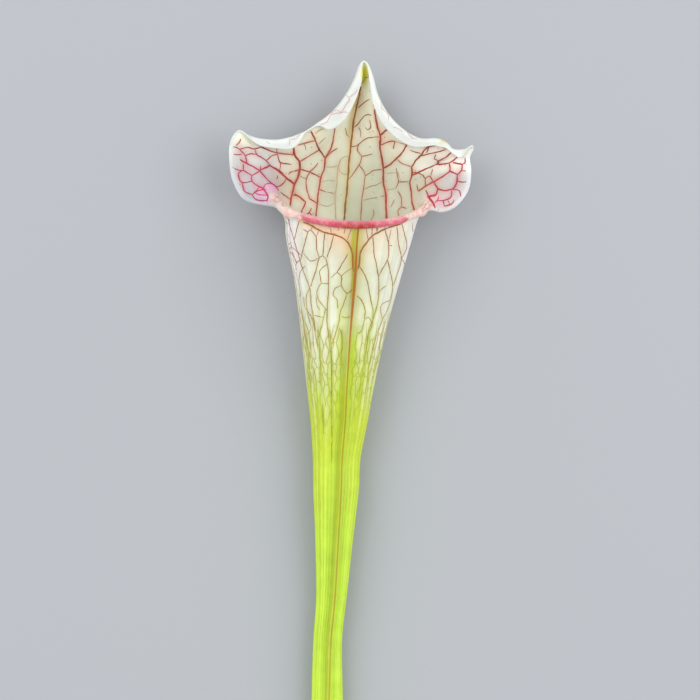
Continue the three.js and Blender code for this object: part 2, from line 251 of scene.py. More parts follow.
    def collar_y(self, angle: Array) -> Array:
        """Where the tube ends and the collar of hood and lip begins, lower where the lip is."""
        return self.rim_y(angle) - self.lip_wall * ease(self.ear_sinks, self.ear_to, np.abs(angle))

    def crest_tangent(self, angle: Array) -> Array:
        """The direction along the hood's outline."""
        step = self.tangent_step
        return unit(through(self.crest, angle + step) - through(self.crest, angle - step))

    def crest_direction(self, angle: Array) -> Array:
        """The hood's direction where it crosses its outline.

        Formula: between the straight line from the tube and the direction square to the outline, by a
        set share, with a set rise.
        """
        along = self.crest_tangent(angle)
        square = unit(np.stack([-along[..., 1], along[..., 0], np.zeros_like(angle)], -1))
        straight = through(self.crest, angle) - self.tube_point(angle, self.collar_y(angle))
        straight[..., 2] = 0
        squareness = through(self.bend, np.abs(angle))[..., 2:3]
        direction = unit(mix(unit(straight), square, squareness))
        direction[..., 2] = through(self.crest_slope, np.abs(angle))[..., 0]
        return unit(direction)

    def folded(self, angle: Array, mark: Array) -> Array:
        """The margin's own section: a strip that turns round evenly and then runs straight.

        Formula: (r sin a, r (1 - cos a)) for the turned part, where a grows with the mark.

        Args:
            angle: Angles round the leaf, one a column.
            mark: Row marks above the tube, one a row.

        Returns:
            Distances ahead and aside in the last axis, by column and row.
        """
        turn, flap = np.moveaxis(through(self.fold, angle), -1, 0)
        bend_length = np.maximum(self.shortest_fold, self.fold_radius * np.radians(np.abs(turn)))
        whole = np.radians(turn)
        whole = np.where(whole == 0, self.straight, whole)[:, None]
        done = whole * np.clip((mark - self.hood_marks) / self.fold_marks, 0, 1)[None]
        beyond = mark - self.hood_marks - self.fold_marks
        run = flap[:, None] * np.clip(beyond / self.flap_marks, 0, 1)[None]
        radius = bend_length[:, None] / whole
        return np.stack(
            [radius * np.sin(done) + run * np.cos(whole), radius * (1 - np.cos(done)) + run * np.sin(whole)],
            -1,
        )

    def hood(self, angle: Array, mark: Array) -> Array:
        """The hood: curves that leave the tube as its wall climbs, and the margin that turns over.

        Formula: cubic Bézier curves from the tube to the outline, then the section of the margin.

        Args:
            angle: Angles round the leaf, one a column.
            mark: Row marks above the tube, one a row.

        Returns:
            The points by column and row.
        """
        crest, direction = through(self.crest, angle), self.crest_direction(angle)
        front = unit(np.cross(self.crest_tangent(angle), direction))
        whole_marks = np.arange(self.hood_marks + 1, self.collar_marks + 1)
        reach = self.folded(angle, whole_marks)[..., 0].max(1)[:, None]
        low = self.collar_y(angle)
        start = self.tube_point(angle, low)
        end = crest - direction * reach
        span = np.linalg.norm(end - start, axis=-1, keepdims=True)
        start_reach, end_reach, _ = np.moveaxis(through(self.bend, np.abs(angle)), -1, 0)
        first = start + self.climb(angle, low) * start_reach[:, None] * span
        second = end - direction * end_reach[:, None] * span
        t = np.clip(mark / self.hood_marks, 0, 1)[None, :, None]
        a, b, c, d = (p[:, None] for p in (start, first, second, end))
        blade = (1 - t) ** 3 * a + 3 * t * (1 - t) ** 2 * b + 3 * t * t * (1 - t) * c + t**3 * d
        ahead, aside = np.moveaxis(self.folded(angle, mark), -1, 0)[..., None]
        margin = d + direction[:, None] * ahead + front[:, None] * aside
        return np.where(mark[None, :, None] <= self.hood_marks, blade, margin)

    def lip(self, angle: Array, mark: Array) -> Array:
        """The lip: the tube's wall up to the rim, then a roll that turns outwards.

        Args:
            angle: Angles round the leaf, one a column.
            mark: Row marks above the tube, one a row.

        Returns:
            The points by column and row.
        """
        rim, low = self.rim_y(angle), self.collar_y(angle)
        climbed = np.clip(mark / self.lip_wall_marks, 0, 1)
        wall = self.tube_point(angle[:, None], mix(low[:, None], rim[:, None], climbed[None]))
        edge, up, out, radius = self.roll_frame(angle)
        rolled = (mark - self.lip_wall_marks) / (self.collar_marks - self.lip_wall_marks)
        turn = np.radians(self.lip_turn) * np.clip(rolled, 0, 1)[None, :, None]
        roll = edge[:, None] + radius[:, None, None] * (
            up[:, None] * np.sin(turn) + out[:, None] * (1 - np.cos(turn))
        )
        return np.where(mark[None, :, None] <= self.lip_wall_marks, wall, roll)

    def roll_frame(self, angle: Array) -> tuple[Array, Array, Array, Array]:
        """Where the lip's roll starts, its directions up and out, and its radius."""
        rim = self.rim_y(angle)
        edge, up = self.tube_point(angle, rim), self.climb(angle, rim)
        out = edge - self.tube_axis(rim)
        out[..., 1] = 0
        out = unit(out - up * (out * up).sum(-1, keepdims=True))
        even = ease(self.ear_to, self.lip_even_from, np.abs(angle))
        return edge, up, out, mix(self.lip_ear_radius, self.lip_radius, even)

    def collar(self, angle: Array, mark: Array) -> Array:
        """The collar above the tube: hood behind the mouth, lip in front, one turning into the other.

        Formula: where hood turns into lip, points at the same share of both curves' lengths are mixed.

        Args:
            angle: Angles round the leaf, one a column.
            mark: Row marks above the tube, one a row and starting at 0.

        Returns:
            The points by column and row.
        """
        hood, lip = self.hood(angle, mark), self.lip(angle, mark)
        as_lip = ease(self.ear_from, self.ear_to, np.abs(angle))
        result = np.where(as_lip[:, None, None] < 0.5, hood, lip)
        for column in np.flatnonzero((as_lip > 0) & (as_lip < 1)):
            share = as_lip[column]
            shares = [length_shares(curve[column]) for curve in (hood, lip)]
            at = mix(*shares, share)
            ends = [along_path(curve[column], own, at) for curve, own in zip((hood, lip), shares)]
            result[column] = mix(*ends, share)
        return result


def length_shares(path: Array) -> Array:
    """How far along a path each of its points lies, as a share of the path's length."""
    reached = travelled(path)
    return reached / reached[-1]


def along_path(path: Array, shares: Array, at: Array) -> Array:
    """The points of a path at other shares of its length."""
    return np.stack([np.interp(at, shares, path[:, k]) for k in range(path.shape[1])], -1)


@dataclass
class Blade:
    """The leaf's two faces as grids of points, one column for each angle and one row for each mark."""

    form: LeafForm = field(default_factory=LeafForm)
    hood_step: float = 1.5
    front_step: float = 1.25
    smooth_everywhere: int = 3
    smooth_ears: int = 60
    edge_share: float = 0.45
    farthest_miss: float = 0.35
    least_facing: float = 0.04

    def __post_init__(self) -> None:
        """Works out the columns, the rows, the middle surface and the two faces."""
        self._lay_out_columns()
        self._lay_out_rows()
        self.middle = self._middle_surface()
        self.outward = self._outward()
        self.points = {Face.OUTER: self._outer(), Face.INNER: self._inner()}
        self.normals = {face: self._normals(face) for face in Face}

    def _lay_out_columns(self) -> None:
        """Columns by angle from one side of the seam round the back to the other.

        Beside the seam a column keeps its distance from it in millimetres, so that the wing has the
        same thickness all the way down.
        """
        form = self.form
        back = np.arange(0, 112, self.hood_step)
        side = np.append(np.arange(112, 161, self.front_step), 161)
        right = np.concatenate([back, side])
        crossing = np.linspace(0, 1, 9)[1:-1]
        beside = np.array([form.wing_foot, 0.66, 0.5, 0.4, form.wing_top, 0.15])
        angle = np.concatenate([right, np.full(len(crossing) + len(beside), 161.0)])
        to_seam = np.concatenate([np.zeros(len(right)), crossing, np.ones(len(beside))])
        gap = np.concatenate([np.full(len(right) + len(crossing), form.wing_foot), beside])
        sides = np.concatenate([[-1.0], np.full(len(angle), -1.0), np.full(len(angle) - 1, 1.0)])
        self.column_angle = np.concatenate([[161.0], angle[::-1], angle[1:]])
        self.column_to_seam = np.concatenate([[1.0], to_seam[::-1], to_seam[1:]])
        self.column_gap = np.concatenate([[0.0], gap[::-1], gap[1:]])
        self.column_side = sides
        self.nominal = self.angles_at(np.array([0.0]))[:, 0]

    def _lay_out_rows(self) -> None:
        """Row marks from the cut end to the edge of the margin, closer where the veins are."""
        form = self.form
        stalk = np.linspace(0, 0.62, 36)[:-1]
        trumpet = np.linspace(0.62, 1, 86)[:-1]
        self.tube_rows = np.concatenate([stalk, trumpet]) * form.tube_marks
        hood = np.linspace(0, form.hood_marks, 46)
        fold = np.linspace(form.hood_marks, form.hood_marks + form.fold_marks, 17)[1:]
        flap = np.linspace(form.hood_marks + form.fold_marks, form.collar_marks, 9)[1:]
        self.collar_rows = np.concatenate([hood, fold, flap])
        self.row_marks = np.concatenate([self.tube_rows, form.tube_marks + self.collar_rows])

    def angles_at(self, y: Array) -> Array:
        """Each column's angle at each place along the leaf, by column and place."""
        _, width = np.moveaxis(through(self.form.tube, y), -1, 0)
        gap = np.degrees(self.column_gap[:, None] / width[None])
        angle = mix(self.column_angle[:, None], 180 - gap, self.column_to_seam[:, None])
        return angle * self.column_side[:, None]

    def _middle_surface(self) -> Array:
        """The middle surface: the tube's rows, then the collar's."""
        form = self.form
        top = np.diagonal(self.angles_at(form.collar_y(self.nominal))).copy()
        collar_y = form.collar_y(top)
        share = self.tube_rows / form.tube_marks
        y = mix(form.cut_end, collar_y[:, None], share[None])
        _, width = np.moveaxis(through(form.tube, y), -1, 0)
        gap = np.degrees(self.column_gap[:, None] / width)
        angle = mix(self.column_angle[:, None], 180 - gap, self.column_to_seam[:, None])
        tube = form.tube_point(angle * self.column_side[:, None], y)
        return np.concatenate([tube, form.collar(top, self.collar_rows)], 1)

    @staticmethod
    def _directions(points: Array) -> Array:
        """The direction square to a grid of points: up the column crossed with on round the ring."""
        up = np.gradient(points, axis=1)
        across = np.roll(points, -1, 0) - np.roll(points, 1, 0)
        return unit(np.cross(up, across))

    @staticmethod
    def _evened(vectors: Array, passes: int) -> Array:
        """The vectors, each mixed with its four neighbours as many times as passes says."""
        for _ in range(passes):
            padded = np.concatenate([vectors[:, :1], vectors, vectors[:, -1:]], 1)
            around = np.roll(vectors, 1, 0) + np.roll(vectors, -1, 0)
            vectors = unit(2 * vectors + padded[:, 2:] + padded[:, :-2] + around)
        return vectors

    def _outward(self) -> Array:
        """The outward direction, evened out at the ears, where hood and lip turn opposite ways."""
        rough = self._directions(self.middle)
        near = np.abs(self.nominal)[:, None]
        mark = self.row_marks[None]
        ears = ease(82, 92, near) * (1 - ease(112, 124, near)) * ease(17, 20, mark)
        corners = ease(36, 44, near) * (1 - ease(64, 72, near)) * ease(23, 26, mark)
        even = np.maximum(ears, corners)[..., None]
        little, much = (self._evened(rough, passes) for passes in (self.smooth_everywhere, self.smooth_ears))
        return unit(mix(little, much, even))

    def _half_wall(self) -> Array:
        """Half the blade's thickness at each row mark, thinner along the margin."""
        form = self.form
        hood_end = form.tube_marks + form.hood_marks
        thin = ease(hood_end + 2, form.tube_marks + form.collar_marks, self.row_marks)
        return form.wall / 2 * mix(1.0, self.edge_share, thin)[None, :, None]

    def relief(self) -> Array:
        """How far the outer face is raised by the wing, the keel and the ribs down the back."""
        form = self.form
        y = self.middle[..., 1]
        beside = np.where(self.column_to_seam == 1, self.column_gap, form.wing_foot)
        fin = np.clip((form.wing_foot - beside) / (form.wing_foot - form.wing_top), 0, 1)
        wing = through(form.wing, y)[..., 0] * (fin * (2 - fin))[:, None]
        from_rib = np.abs(self.nominal) % form.rib_step
        nearness = np.maximum(0, 1 - np.minimum(from_rib, form.rib_step - from_rib) / form.rib_half_width)
        keel = form.keel_height * np.maximum(0, 1 - np.abs(self.nominal) / 3)
        ribs = np.maximum(form.rib_height * ease(0, 1, nearness), keel)
        fade = 1 - ease(form.tube_marks + 5, form.tube_marks + form.hood_marks, self.row_marks)
        on_back = np.where(self.column_to_seam > 0, 0, ribs)
        return np.maximum(wing, on_back[:, None]) * fade[None]

    def _outer(self) -> Array:
        """The outer face: half a wall and its relief out from the middle surface, and never under 0."""
        points = self.middle + self.outward * (self._half_wall() + self.relief()[..., None])
        points[:, 0, 1] = self.form.cut_end
        points[..., 2] = np.maximum(points[..., 2], 0)
        return points

    def _inner(self) -> Array:
        """The inner face: half a wall in from the middle surface, closing as the hollow tapers away."""
        form = self.form
        points = self.middle - self.outward * self._half_wall()
        points[..., 2] = np.maximum(points[..., 2], form.wall)
        y = self.middle[..., 1]
        hollow = np.sqrt(np.clip((y - form.hollow_end) / form.hollow_taper, form.hollow_tip, 1))
        closing = np.where(self.row_marks[None] < form.tube_marks, 1 - hollow, 0)[..., None]
        axis = form.tube_axis(y)
        axis[..., 1] = points[..., 1]
        return mix(points, axis, closing)

    def _normals(self, face: Face) -> Array:
        """The direction that a face looks in, at each of its points."""
        sign = 1 if face is Face.OUTER else -1
        return sign * self._directions(self.points[face])

    def read(self, grid: Array, column: Array, row: Array) -> Array:
        """Reads a grid between its points.

        Formula: the mean of the four points round (column, row), weighted by nearness on both axes.

        Args:
            grid: Values by column and row.
            column: Places among the columns, which run round the leaf without an end.
            row: Places among the rows.

        Returns:
            The values read.
        """
        count, last = grid.shape[0], grid.shape[1] - 1
        row = np.clip(row, 0, last - 1e-6)
        i, j = np.floor(column).astype(int), np.floor(row).astype(int)
        u, v = column - i, row - j
        if grid.ndim == 3:
            u, v = u[..., None], v[..., None]
        i, k = i % count, (i + 1) % count
        return mix(mix(grid[i, j], grid[k, j], u), mix(grid[i, j + 1], grid[k, j + 1], u), v)

    def place(self, angle: Array, mark: Array) -> Pair:
        """The column and row places of an angle and a row mark."""
        order = np.arange(len(self.nominal))
        rows = np.arange(len(self.row_marks))
        return np.interp(angle, self.nominal, order), np.interp(mark, self.row_marks, rows)

    def seen_at(self, x: Array, y: Array, face: Face, angles: Span, marks: Span) -> Pair:
        """Finds the places on a face that lie under points of the front view.

        Formula: the nearest grid point, then Newton's steps on x and y.

        Args:
            x: Where the points are across the view.
            y: Where they are up the view.
            face: The face that is looked at.
            angles: The least and most distance from the back, in degrees, that is looked at.
            marks: The lowest and highest row mark that is looked at.

        Returns:
            The column and row places of the points that the face has.
        """
        grid = self.points[face]
        near = np.abs(self.nominal)
        columns = np.flatnonzero((near >= angles[0]) & (near <= angles[1]))
        rows = np.flatnonzero((self.row_marks >= marks[0]) & (self.row_marks <= marks[1]))
        seen = grid[np.ix_(columns, rows)][..., :2].reshape(-1, 2)
        turned_away = self.normals[face][np.ix_(columns, rows)][..., 2].reshape(-1) < self.least_facing
        wanted = np.stack([x, y], -1)
        distance = ((wanted[:, None] - seen[None]) ** 2).sum(-1) + np.where(turned_away, 1e6, 0)
        best = distance.argmin(1)
        column = columns[best // len(rows)].astype(float)
        row = rows[best % len(rows)].astype(float)
        for _ in range(6):
            error = wanted - self.read(grid, column, row)[:, :2]
            by_column = (self.read(grid, column + 0.5, row) - self.read(grid, column - 0.5, row))[:, :2]
            by_row = (self.read(grid, column, row + 0.5) - self.read(grid, column, row - 0.5))[:, :2]
            area = by_column[:, 0] * by_row[:, 1] - by_column[:, 1] * by_row[:, 0]
            area = np.where(np.abs(area) < 1e-4, 1e-4, area)
            step_c = (error[:, 0] * by_row[:, 1] - error[:, 1] * by_row[:, 0]) / area
            step_r = (by_column[:, 0] * error[:, 1] - by_column[:, 1] * error[:, 0]) / area
            column += np.clip(step_c, -1, 1)
            row = np.clip(row + np.clip(step_r, -1, 1), rows[0], rows[-1])
        missed = np.linalg.norm(wanted - self.read(grid, column, row)[:, :2], axis=1)
        found = missed < self.farthest_miss
        return column[found], row[found]

    def metres(self, points: Array) -> Array:
        """Points in the frame's own metres."""
        return (points - np.array([self.form.middle_x, self.form.middle_y, 0])) * MM


def shown(name: str, data: bpy.types.ID) -> bpy.types.Object:
    """An object of that name and data, put into the scene."""
    made = bpy.data.objects.new(name, data)
    bpy.context.scene.collection.objects.link(made)
    return made


def make_piece(
    name: str, points: Array, faces: Sequence[Array], masks: dict[str, Array]
) -> bpy.types.Object:
    """Makes a smooth mesh piece that rides with the leaf.

    Args:
        name: The piece's name.
        points: Its points, in metres.
        faces: Arrays with a row of point numbers for each face.
        masks: Values for each point, by attribute name: one number a point, or a colour of four.

    Returns:
        The piece's object.
    """
    mesh = bpy.data.meshes.new(name)
    mesh.from_pydata(points.tolist(), [], [row for group in faces for row in group.tolist()])
    mesh.polygons.foreach_set("use_smooth", np.ones(len(mesh.polygons), bool))
    for key, values in masks.items():
        kind, part = ("FLOAT_COLOR", "color") if values.ndim == 2 else ("FLOAT", "value")
        layer = mesh.attributes.new(key, kind, "POINT")
        layer.data.foreach_set(part, values.astype(np.float32).ravel())
    mesh.update()
    piece = shown(name, mesh)
    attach(piece, "root")
    LOG.info("%s: %d points, %d faces", name, len(mesh.vertices), len(mesh.polygons))
    return piece


class Shade(Enum):
    """Named colours of the leaf, as screen colours."""

    HOOD = (194, 197, 172)
    LOBE = (180, 184, 190)
    FLAP = (222, 227, 222)
    THROAT = (178, 186, 150)
    TUBE_TOP = (227, 227, 211)
    # Painted shade on the tube's front, where it faces the light.
    FRONT = (206, 210, 186)
    # Painted light on the tube's sides, where they turn from the light.
    FLANK = (250, 248, 252)
    TUBE_GREEN = (204, 220, 62)
    STALK = (208, 240, 78)
    STALK_FOOT = (188, 196, 96)
    CUT = (206, 204, 140)
    SEAM_EDGE = (164, 94, 0)
    SEAM_STRIP = (170, 168, 14)
    LIP_CREAM = (232, 208, 196)
    LIP_PINK = (214, 96, 122)
    LIP_RED = (176, 24, 34)
    MAGENTA = (226, 150, 196)
    CERISE = (190, 44, 88)
    FRINGE = (226, 122, 98)
    LOBE_FRINGE = (206, 92, 116)
    SHAWL = (226, 174, 128)
    LIT = (252, 250, 238)
    RIM = (236, 234, 236)
    HALO = (232, 200, 132)
    HALO_LOW = (216, 218, 128)
    TIP = (212, 208, 62)
    CRIMSON = (158, 68, 50)
    BRANCH = (154, 80, 48)
    AMBER = (156, 92, 14)
    BARK = (138, 94, 30)
    ROSE = (164, 52, 74)
    RUST = (148, 98, 44)
    OLIVE = (164, 160, 104)
    PURPLE = (208, 142, 164)
    CURL_LINE = (206, 128, 112)
    STREAK = (160, 206, 40)
    STAIN = (208, 186, 88)
    SPECK = (120, 84, 50)
    # Painted light on the low middle of the hood.
    GROOVE = (208, 212, 182)
    # Painted light on the hood's sides.
    HOOD_SIDE = (222, 218, 202)
    # Painted light on the top of the hood.
    CROWN = (236, 236, 214)
    SEAM_LOW = (160, 142, 12)
    LIP_BLUSH = (220, 128, 132)

    @property
    def linear(self) -> tuple[float, float, float, float]:
        """The colour as a shader takes it."""
        return linear(*self.value)


class Sheet:
    """A node tree under way: adds nodes and joins them."""

    def __init__(self, tree: bpy.types.NodeTree) -> None:
        """Starts on a tree.

        Args:
            tree: The tree that the nodes go into.
        """
        self.tree = tree

    def node(self, kind: str, inputs: dict[str | int, object] | None = None, **settings: object) -> Node:
        """Adds a node.

        Args:
            kind: The node's type, without ShaderNode.
            inputs: Values or sockets for its inputs, by name or number.
            settings: The node's own settings.

        Returns:
            The node.
        """
        node = self.tree.nodes.new("ShaderNode" + kind)
        for key, value in settings.items():
            setattr(node, key, value)
        for key, value in (inputs or {}).items():
            if isinstance(value, Socket):
                self.tree.links.new(value, node.inputs[key])
            else:
                node.inputs[key].default_value = value
        return node

    def mask(self, name: str) -> Socket:
        """Reads one of the piece's own number attributes."""
        return self.node("Attribute", attribute_name=name).outputs["Fac"]

    def math(self, operation: str, *values: object, clamp: bool = False) -> Socket:
        """Works out one number from others."""
        inputs = dict(enumerate(values))
        return self.node("Math", inputs, operation=operation, use_clamp=clamp).outputs[0]

    def blend(self, share: object, a: object, b: object, kind: str = "MIX") -> Socket:
        """Mixes two colours by a share."""
        inputs = {0: share, 6: a, 7: b}
        return self.node("Mix", inputs, data_type="RGBA", blend_type=kind).outputs[2]

    def coats(self, ground: object, *coats: tuple[object, Shade]) -> Socket:
        """Lays shades over a ground in turn.

        Args:
            ground: The colour below, as a socket or as a shade.
            coats: The share and the shade of each coat. A share is a mask's name or a socket.

        Returns:
            The colour on top.
        """
        colour = ground.linear if isinstance(ground, Shade) else ground
        for share, shade in coats:
            share = self.mask(share) if isinstance(share, str) else share
            colour = self.blend(share, colour, shade.linear)
        return colour

    def texture(self, kind: str, scale: object, detail: float | None = None, **settings: object) -> Node:
        """Adds a noise or cell texture on the piece's own Object coordinates.

        Args:
            kind: The texture's type, without ShaderNode.
            scale: Its scale, as a number or a socket.
            detail: How many finer layers it has, for noise.
            settings: The node's own settings.

        Returns:
            The node.
        """
        inputs = {"Vector": self.node("TexCoord").outputs["Object"], "Scale": scale}
        if detail is not None:
            inputs["Detail"] = detail
        return self.node(kind, inputs, **settings)


@dataclass(frozen=True)
class Grain:
    """The fine unevenness of plant skin: a shader group that several finishes share."""

    name: str = "plant skin grain"

    def group(self) -> bpy.types.NodeTree:
        """Builds the group once: blotches and cells of the skin at given sizes.

        Returns:
            The group, which puts out a mottle value and a height.
        """
        if self.name in bpy.data.node_groups:
            return bpy.data.node_groups[self.name]
        tree = bpy.data.node_groups.new(self.name, "ShaderNodeTree")
        for label, default in (("Blotch", 160.0), ("Cell", 1500.0)):
            given = tree.interface.new_socket(label, in_out="INPUT", socket_type="NodeSocketFloat")
            given.default_value = default
        for label in ("Mottle", "Height"):
            tree.interface.new_socket(label, in_out="OUTPUT", socket_type="NodeSocketFloat")
        sheet = Sheet(tree)
        given = tree.nodes.new("NodeGroupInput").outputs
        blotch = sheet.texture("TexNoise", given["Blotch"], 4.0)
        blotch.inputs["Roughness"].default_value = 0.6
        cell = sheet.texture("TexVoronoi", given["Cell"], feature="SMOOTH_F1")
        fine = sheet.texture("TexNoise", given["Cell"], 2.0)
        height = sheet.math("ADD", sheet.math("MULTIPLY", cell.outputs["Distance"], -0.6), fine.outputs[0])
        out = tree.nodes.new("NodeGroupOutput")
        tree.links.new(blotch.outputs[0], out.inputs["Mottle"])
        tree.links.new(height, out.inputs["Height"])
        return tree


@dataclass(frozen=True)
class Finish:
    """A finish of living plant tissue: satin, slightly waxy and slightly see-through."""

    name: str
    roughness: float = 0.5
    glow: float = 0.25
    glow_reach: float = 0.0012
    coat: float = 0.0
    bump: float = 0.12
    blotch: float = 160.0
    cell: float = 1500.0

    def start(self) -> tuple[bpy.types.Material, Sheet, Node, Node]:
        """Starts the material with its shader, its grain and its bump.

        Returns:
            The material, its sheet, the shader and the grain node.
        """
        material = bpy.data.materials.new(self.name)
        material.use_nodes = True
        sheet = Sheet(material.node_tree)
        shader = material.node_tree.nodes["Principled BSDF"]
        for key, value in (
            ("Roughness", self.roughness),
            ("Subsurface Weight", self.glow),
            ("Subsurface Radius", (1.0, 0.9, 0.6)),
            ("Subsurface Scale", self.glow_reach),
            ("Coat Weight", self.coat),
            ("Coat Roughness", 0.25),
            ("Specular IOR Level", 0.4),
        ):
            shader.inputs[key].default_value = value
        grain = sheet.node("Group", node_tree=Grain().group())
        grain.inputs["Blotch"].default_value = self.blotch
        grain.inputs["Cell"].default_value = self.cell
        relief = {"Strength": self.bump, "Distance": 0.0002, "Height": grain.outputs["Height"]}
        bump = sheet.node("Bump", relief)
        material.node_tree.links.new(bump.outputs[0], shader.inputs["Normal"])
        return material, sheet, shader, grain

    @staticmethod
    def paint(sheet: Sheet, shader: Node, colour: object, value: object, swing: float) -> None:
        """Puts a colour on the shader, its brightness multiplied by 1 - swing / 2 + swing times a value."""
        shift = sheet.math("MULTIPLY_ADD", value, swing, 1 - swing / 2)
        hue = sheet.node("HueSaturation", {"Value": shift, "Color": colour})
        sheet.tree.links.new(hue.outputs[0], shader.inputs["Base Color"])


@dataclass(frozen=True)
class LeafFinish(Finish):
    """The blade's finish: white at the hood, green down the tube, with soft stains along the veins."""

    name: str = "leaf"
    streak_share: float = 0.32
    speck_scale: float = 390.0
    speck_size: float = 0.135
    specks_missing: float = 0.35

    def material(self) -> bpy.types.Material:
        """Builds the material from the skin's own masks."""
        material, sheet, shader, grain = self.start()
        mottle = grain.outputs["Mottle"]
        streak = sheet.math("MULTIPLY", sheet.mask("streak"), sheet.mask("green"))
        streak = sheet.math("MULTIPLY", streak, self.streak_share)
        cut = sheet.math("MULTIPLY", sheet.mask("cut"), 6.0, clamp=True)
        # On the tube the front is painted shade and the sides are painted light.
        colour = sheet.coats(
            Shade.TUBE_TOP, ("green", Shade.TUBE_GREEN), ("stalk", Shade.STALK), ("foot", Shade.STALK_FOOT),
            (streak, Shade.STREAK), ("flank", Shade.FLANK), (cut, Shade.CUT), ("front", Shade.FRONT),
            ("shawl", Shade.SHAWL), ("seam_strip", Shade.SEAM_STRIP),
        )
        seam = sheet.coats(Shade.SEAM_EDGE, ("seam_low", Shade.SEAM_LOW))
        tube = sheet.blend(sheet.mask("seam_edge"), colour, seam)
        # On the hood the top, the sides, the low middle and the lit parts are painted light.
        hood = sheet.coats(
            Shade.HOOD, ("side", Shade.HOOD_SIDE), ("lobe", Shade.LOBE), ("crown", Shade.CROWN),
            ("throat", Shade.THROAT), ("groove", Shade.GROOVE), ("lit", Shade.LIT), ("rim", Shade.RIM),
            (self.specks(sheet), Shade.SPECK),
        )
        colour = sheet.blend(sheet.mask("hood"), tube, hood)
        colour = sheet.coats(colour, ("flap", Shade.FLAP), ("stain", Shade.STAIN))
        halo = sheet.coats(Shade.HALO, ("low", Shade.HALO_LOW))
        colour = sheet.blend(sheet.mask("halo"), colour, halo, "MULTIPLY")
        fringe = sheet.coats(Shade.FRINGE, ("lobe", Shade.LOBE_FRINGE))
        colour = sheet.blend(sheet.mask("fringe"), colour, fringe)
        cloud = sheet.texture("TexNoise", 640.0, 3.0).outputs[0]
        cloud = sheet.math("MULTIPLY_ADD", cloud, 3.6, -1.4, clamp=True)
        blush = sheet.math("MULTIPLY", sheet.mask("blush"), sheet.math("MULTIPLY_ADD", cloud, 0.5, 0.5))
        colour = sheet.coats(colour, (blush, Shade.MAGENTA), ("tip", Shade.TIP))
        lip = sheet.coats(Shade.LIP_CREAM, (sheet.math("MULTIPLY", cloud, 0.5), Shade.LIP_BLUSH))
        for name in ("lip", "curl"):
            colour = sheet.blend(sheet.mask(name), colour, lip)
        self.paint(sheet, shader, colour, mottle, 0.3)
        return material

    def specks(self, sheet: Sheet) -> Socket:
        """Scattered brown specks: the middles of some random cells of the skin."""
        cell = sheet.texture("TexVoronoi", self.speck_scale)
        own = sheet.node("SeparateColor", {0: cell.outputs["Color"]}).outputs[0]
        chosen = sheet.math("GREATER_THAN", own, self.specks_missing)
        nearness = sheet.math("SUBTRACT", self.speck_size, cell.outputs["Distance"])
        dot = sheet.math("MULTIPLY", nearness, 14.0, clamp=True)
        return sheet.math("MULTIPLY", sheet.math("MULTIPLY", dot, chosen), 0.6)


@dataclass(frozen=True)
class VeinFinish(Finish):
    """The veins' finish: each vein's own colour, deeper in blotches."""

    name: str = "veins"
    glow: float = 0.1
    bump: float = 0.1

    def material(self) -> bpy.types.Material:
        """Builds the material from the veins' own colours."""
        material, sheet, shader, grain = self.start()
        own = sheet.node("Attribute", attribute_name="tone").outputs["Color"]
        self.paint(sheet, shader, own, grain.outputs["Mottle"], 0.5)
        return material


class Region(Enum):
    """A part of the leaf that a drawn vein runs on: its face, its angles and its row marks."""

    HOOD = (Face.INNER, (0, 112), (14.5, 26.4))
    FLAP = (Face.OUTER, (0, 80), (26.5, 32))
    FRONT = (Face.OUTER, (64, 180), (2, 23.5))
    EAR = (Face.INNER, (74, 130), (17, 32))


@dataclass(frozen=True)
class Stroke:
    """A vein as drawn on the front view: width in millimetres, colour if it has its own, and points.

    The drawing's grid is 0.35 mm a step, x to the right and y down, with the leaf's middle at 350 and
    the level of the lip at 220.
    """

    region: Region
    width: float
    shade: Shade | None
    points: tuple[Span, ...]


def strokes(region: Region, width: float, shade: Shade | None, drawn: str) -> list[Stroke]:
    """Several veins of one kind, drawn as the x and y of their points, with a comma between veins."""
    result = []
    for line in drawn.split(","):
        values = [float(part) for part in line.split()]
        result.append(Stroke(region, width, shade, tuple(zip(values[::2], values[1::2]))))
    return result


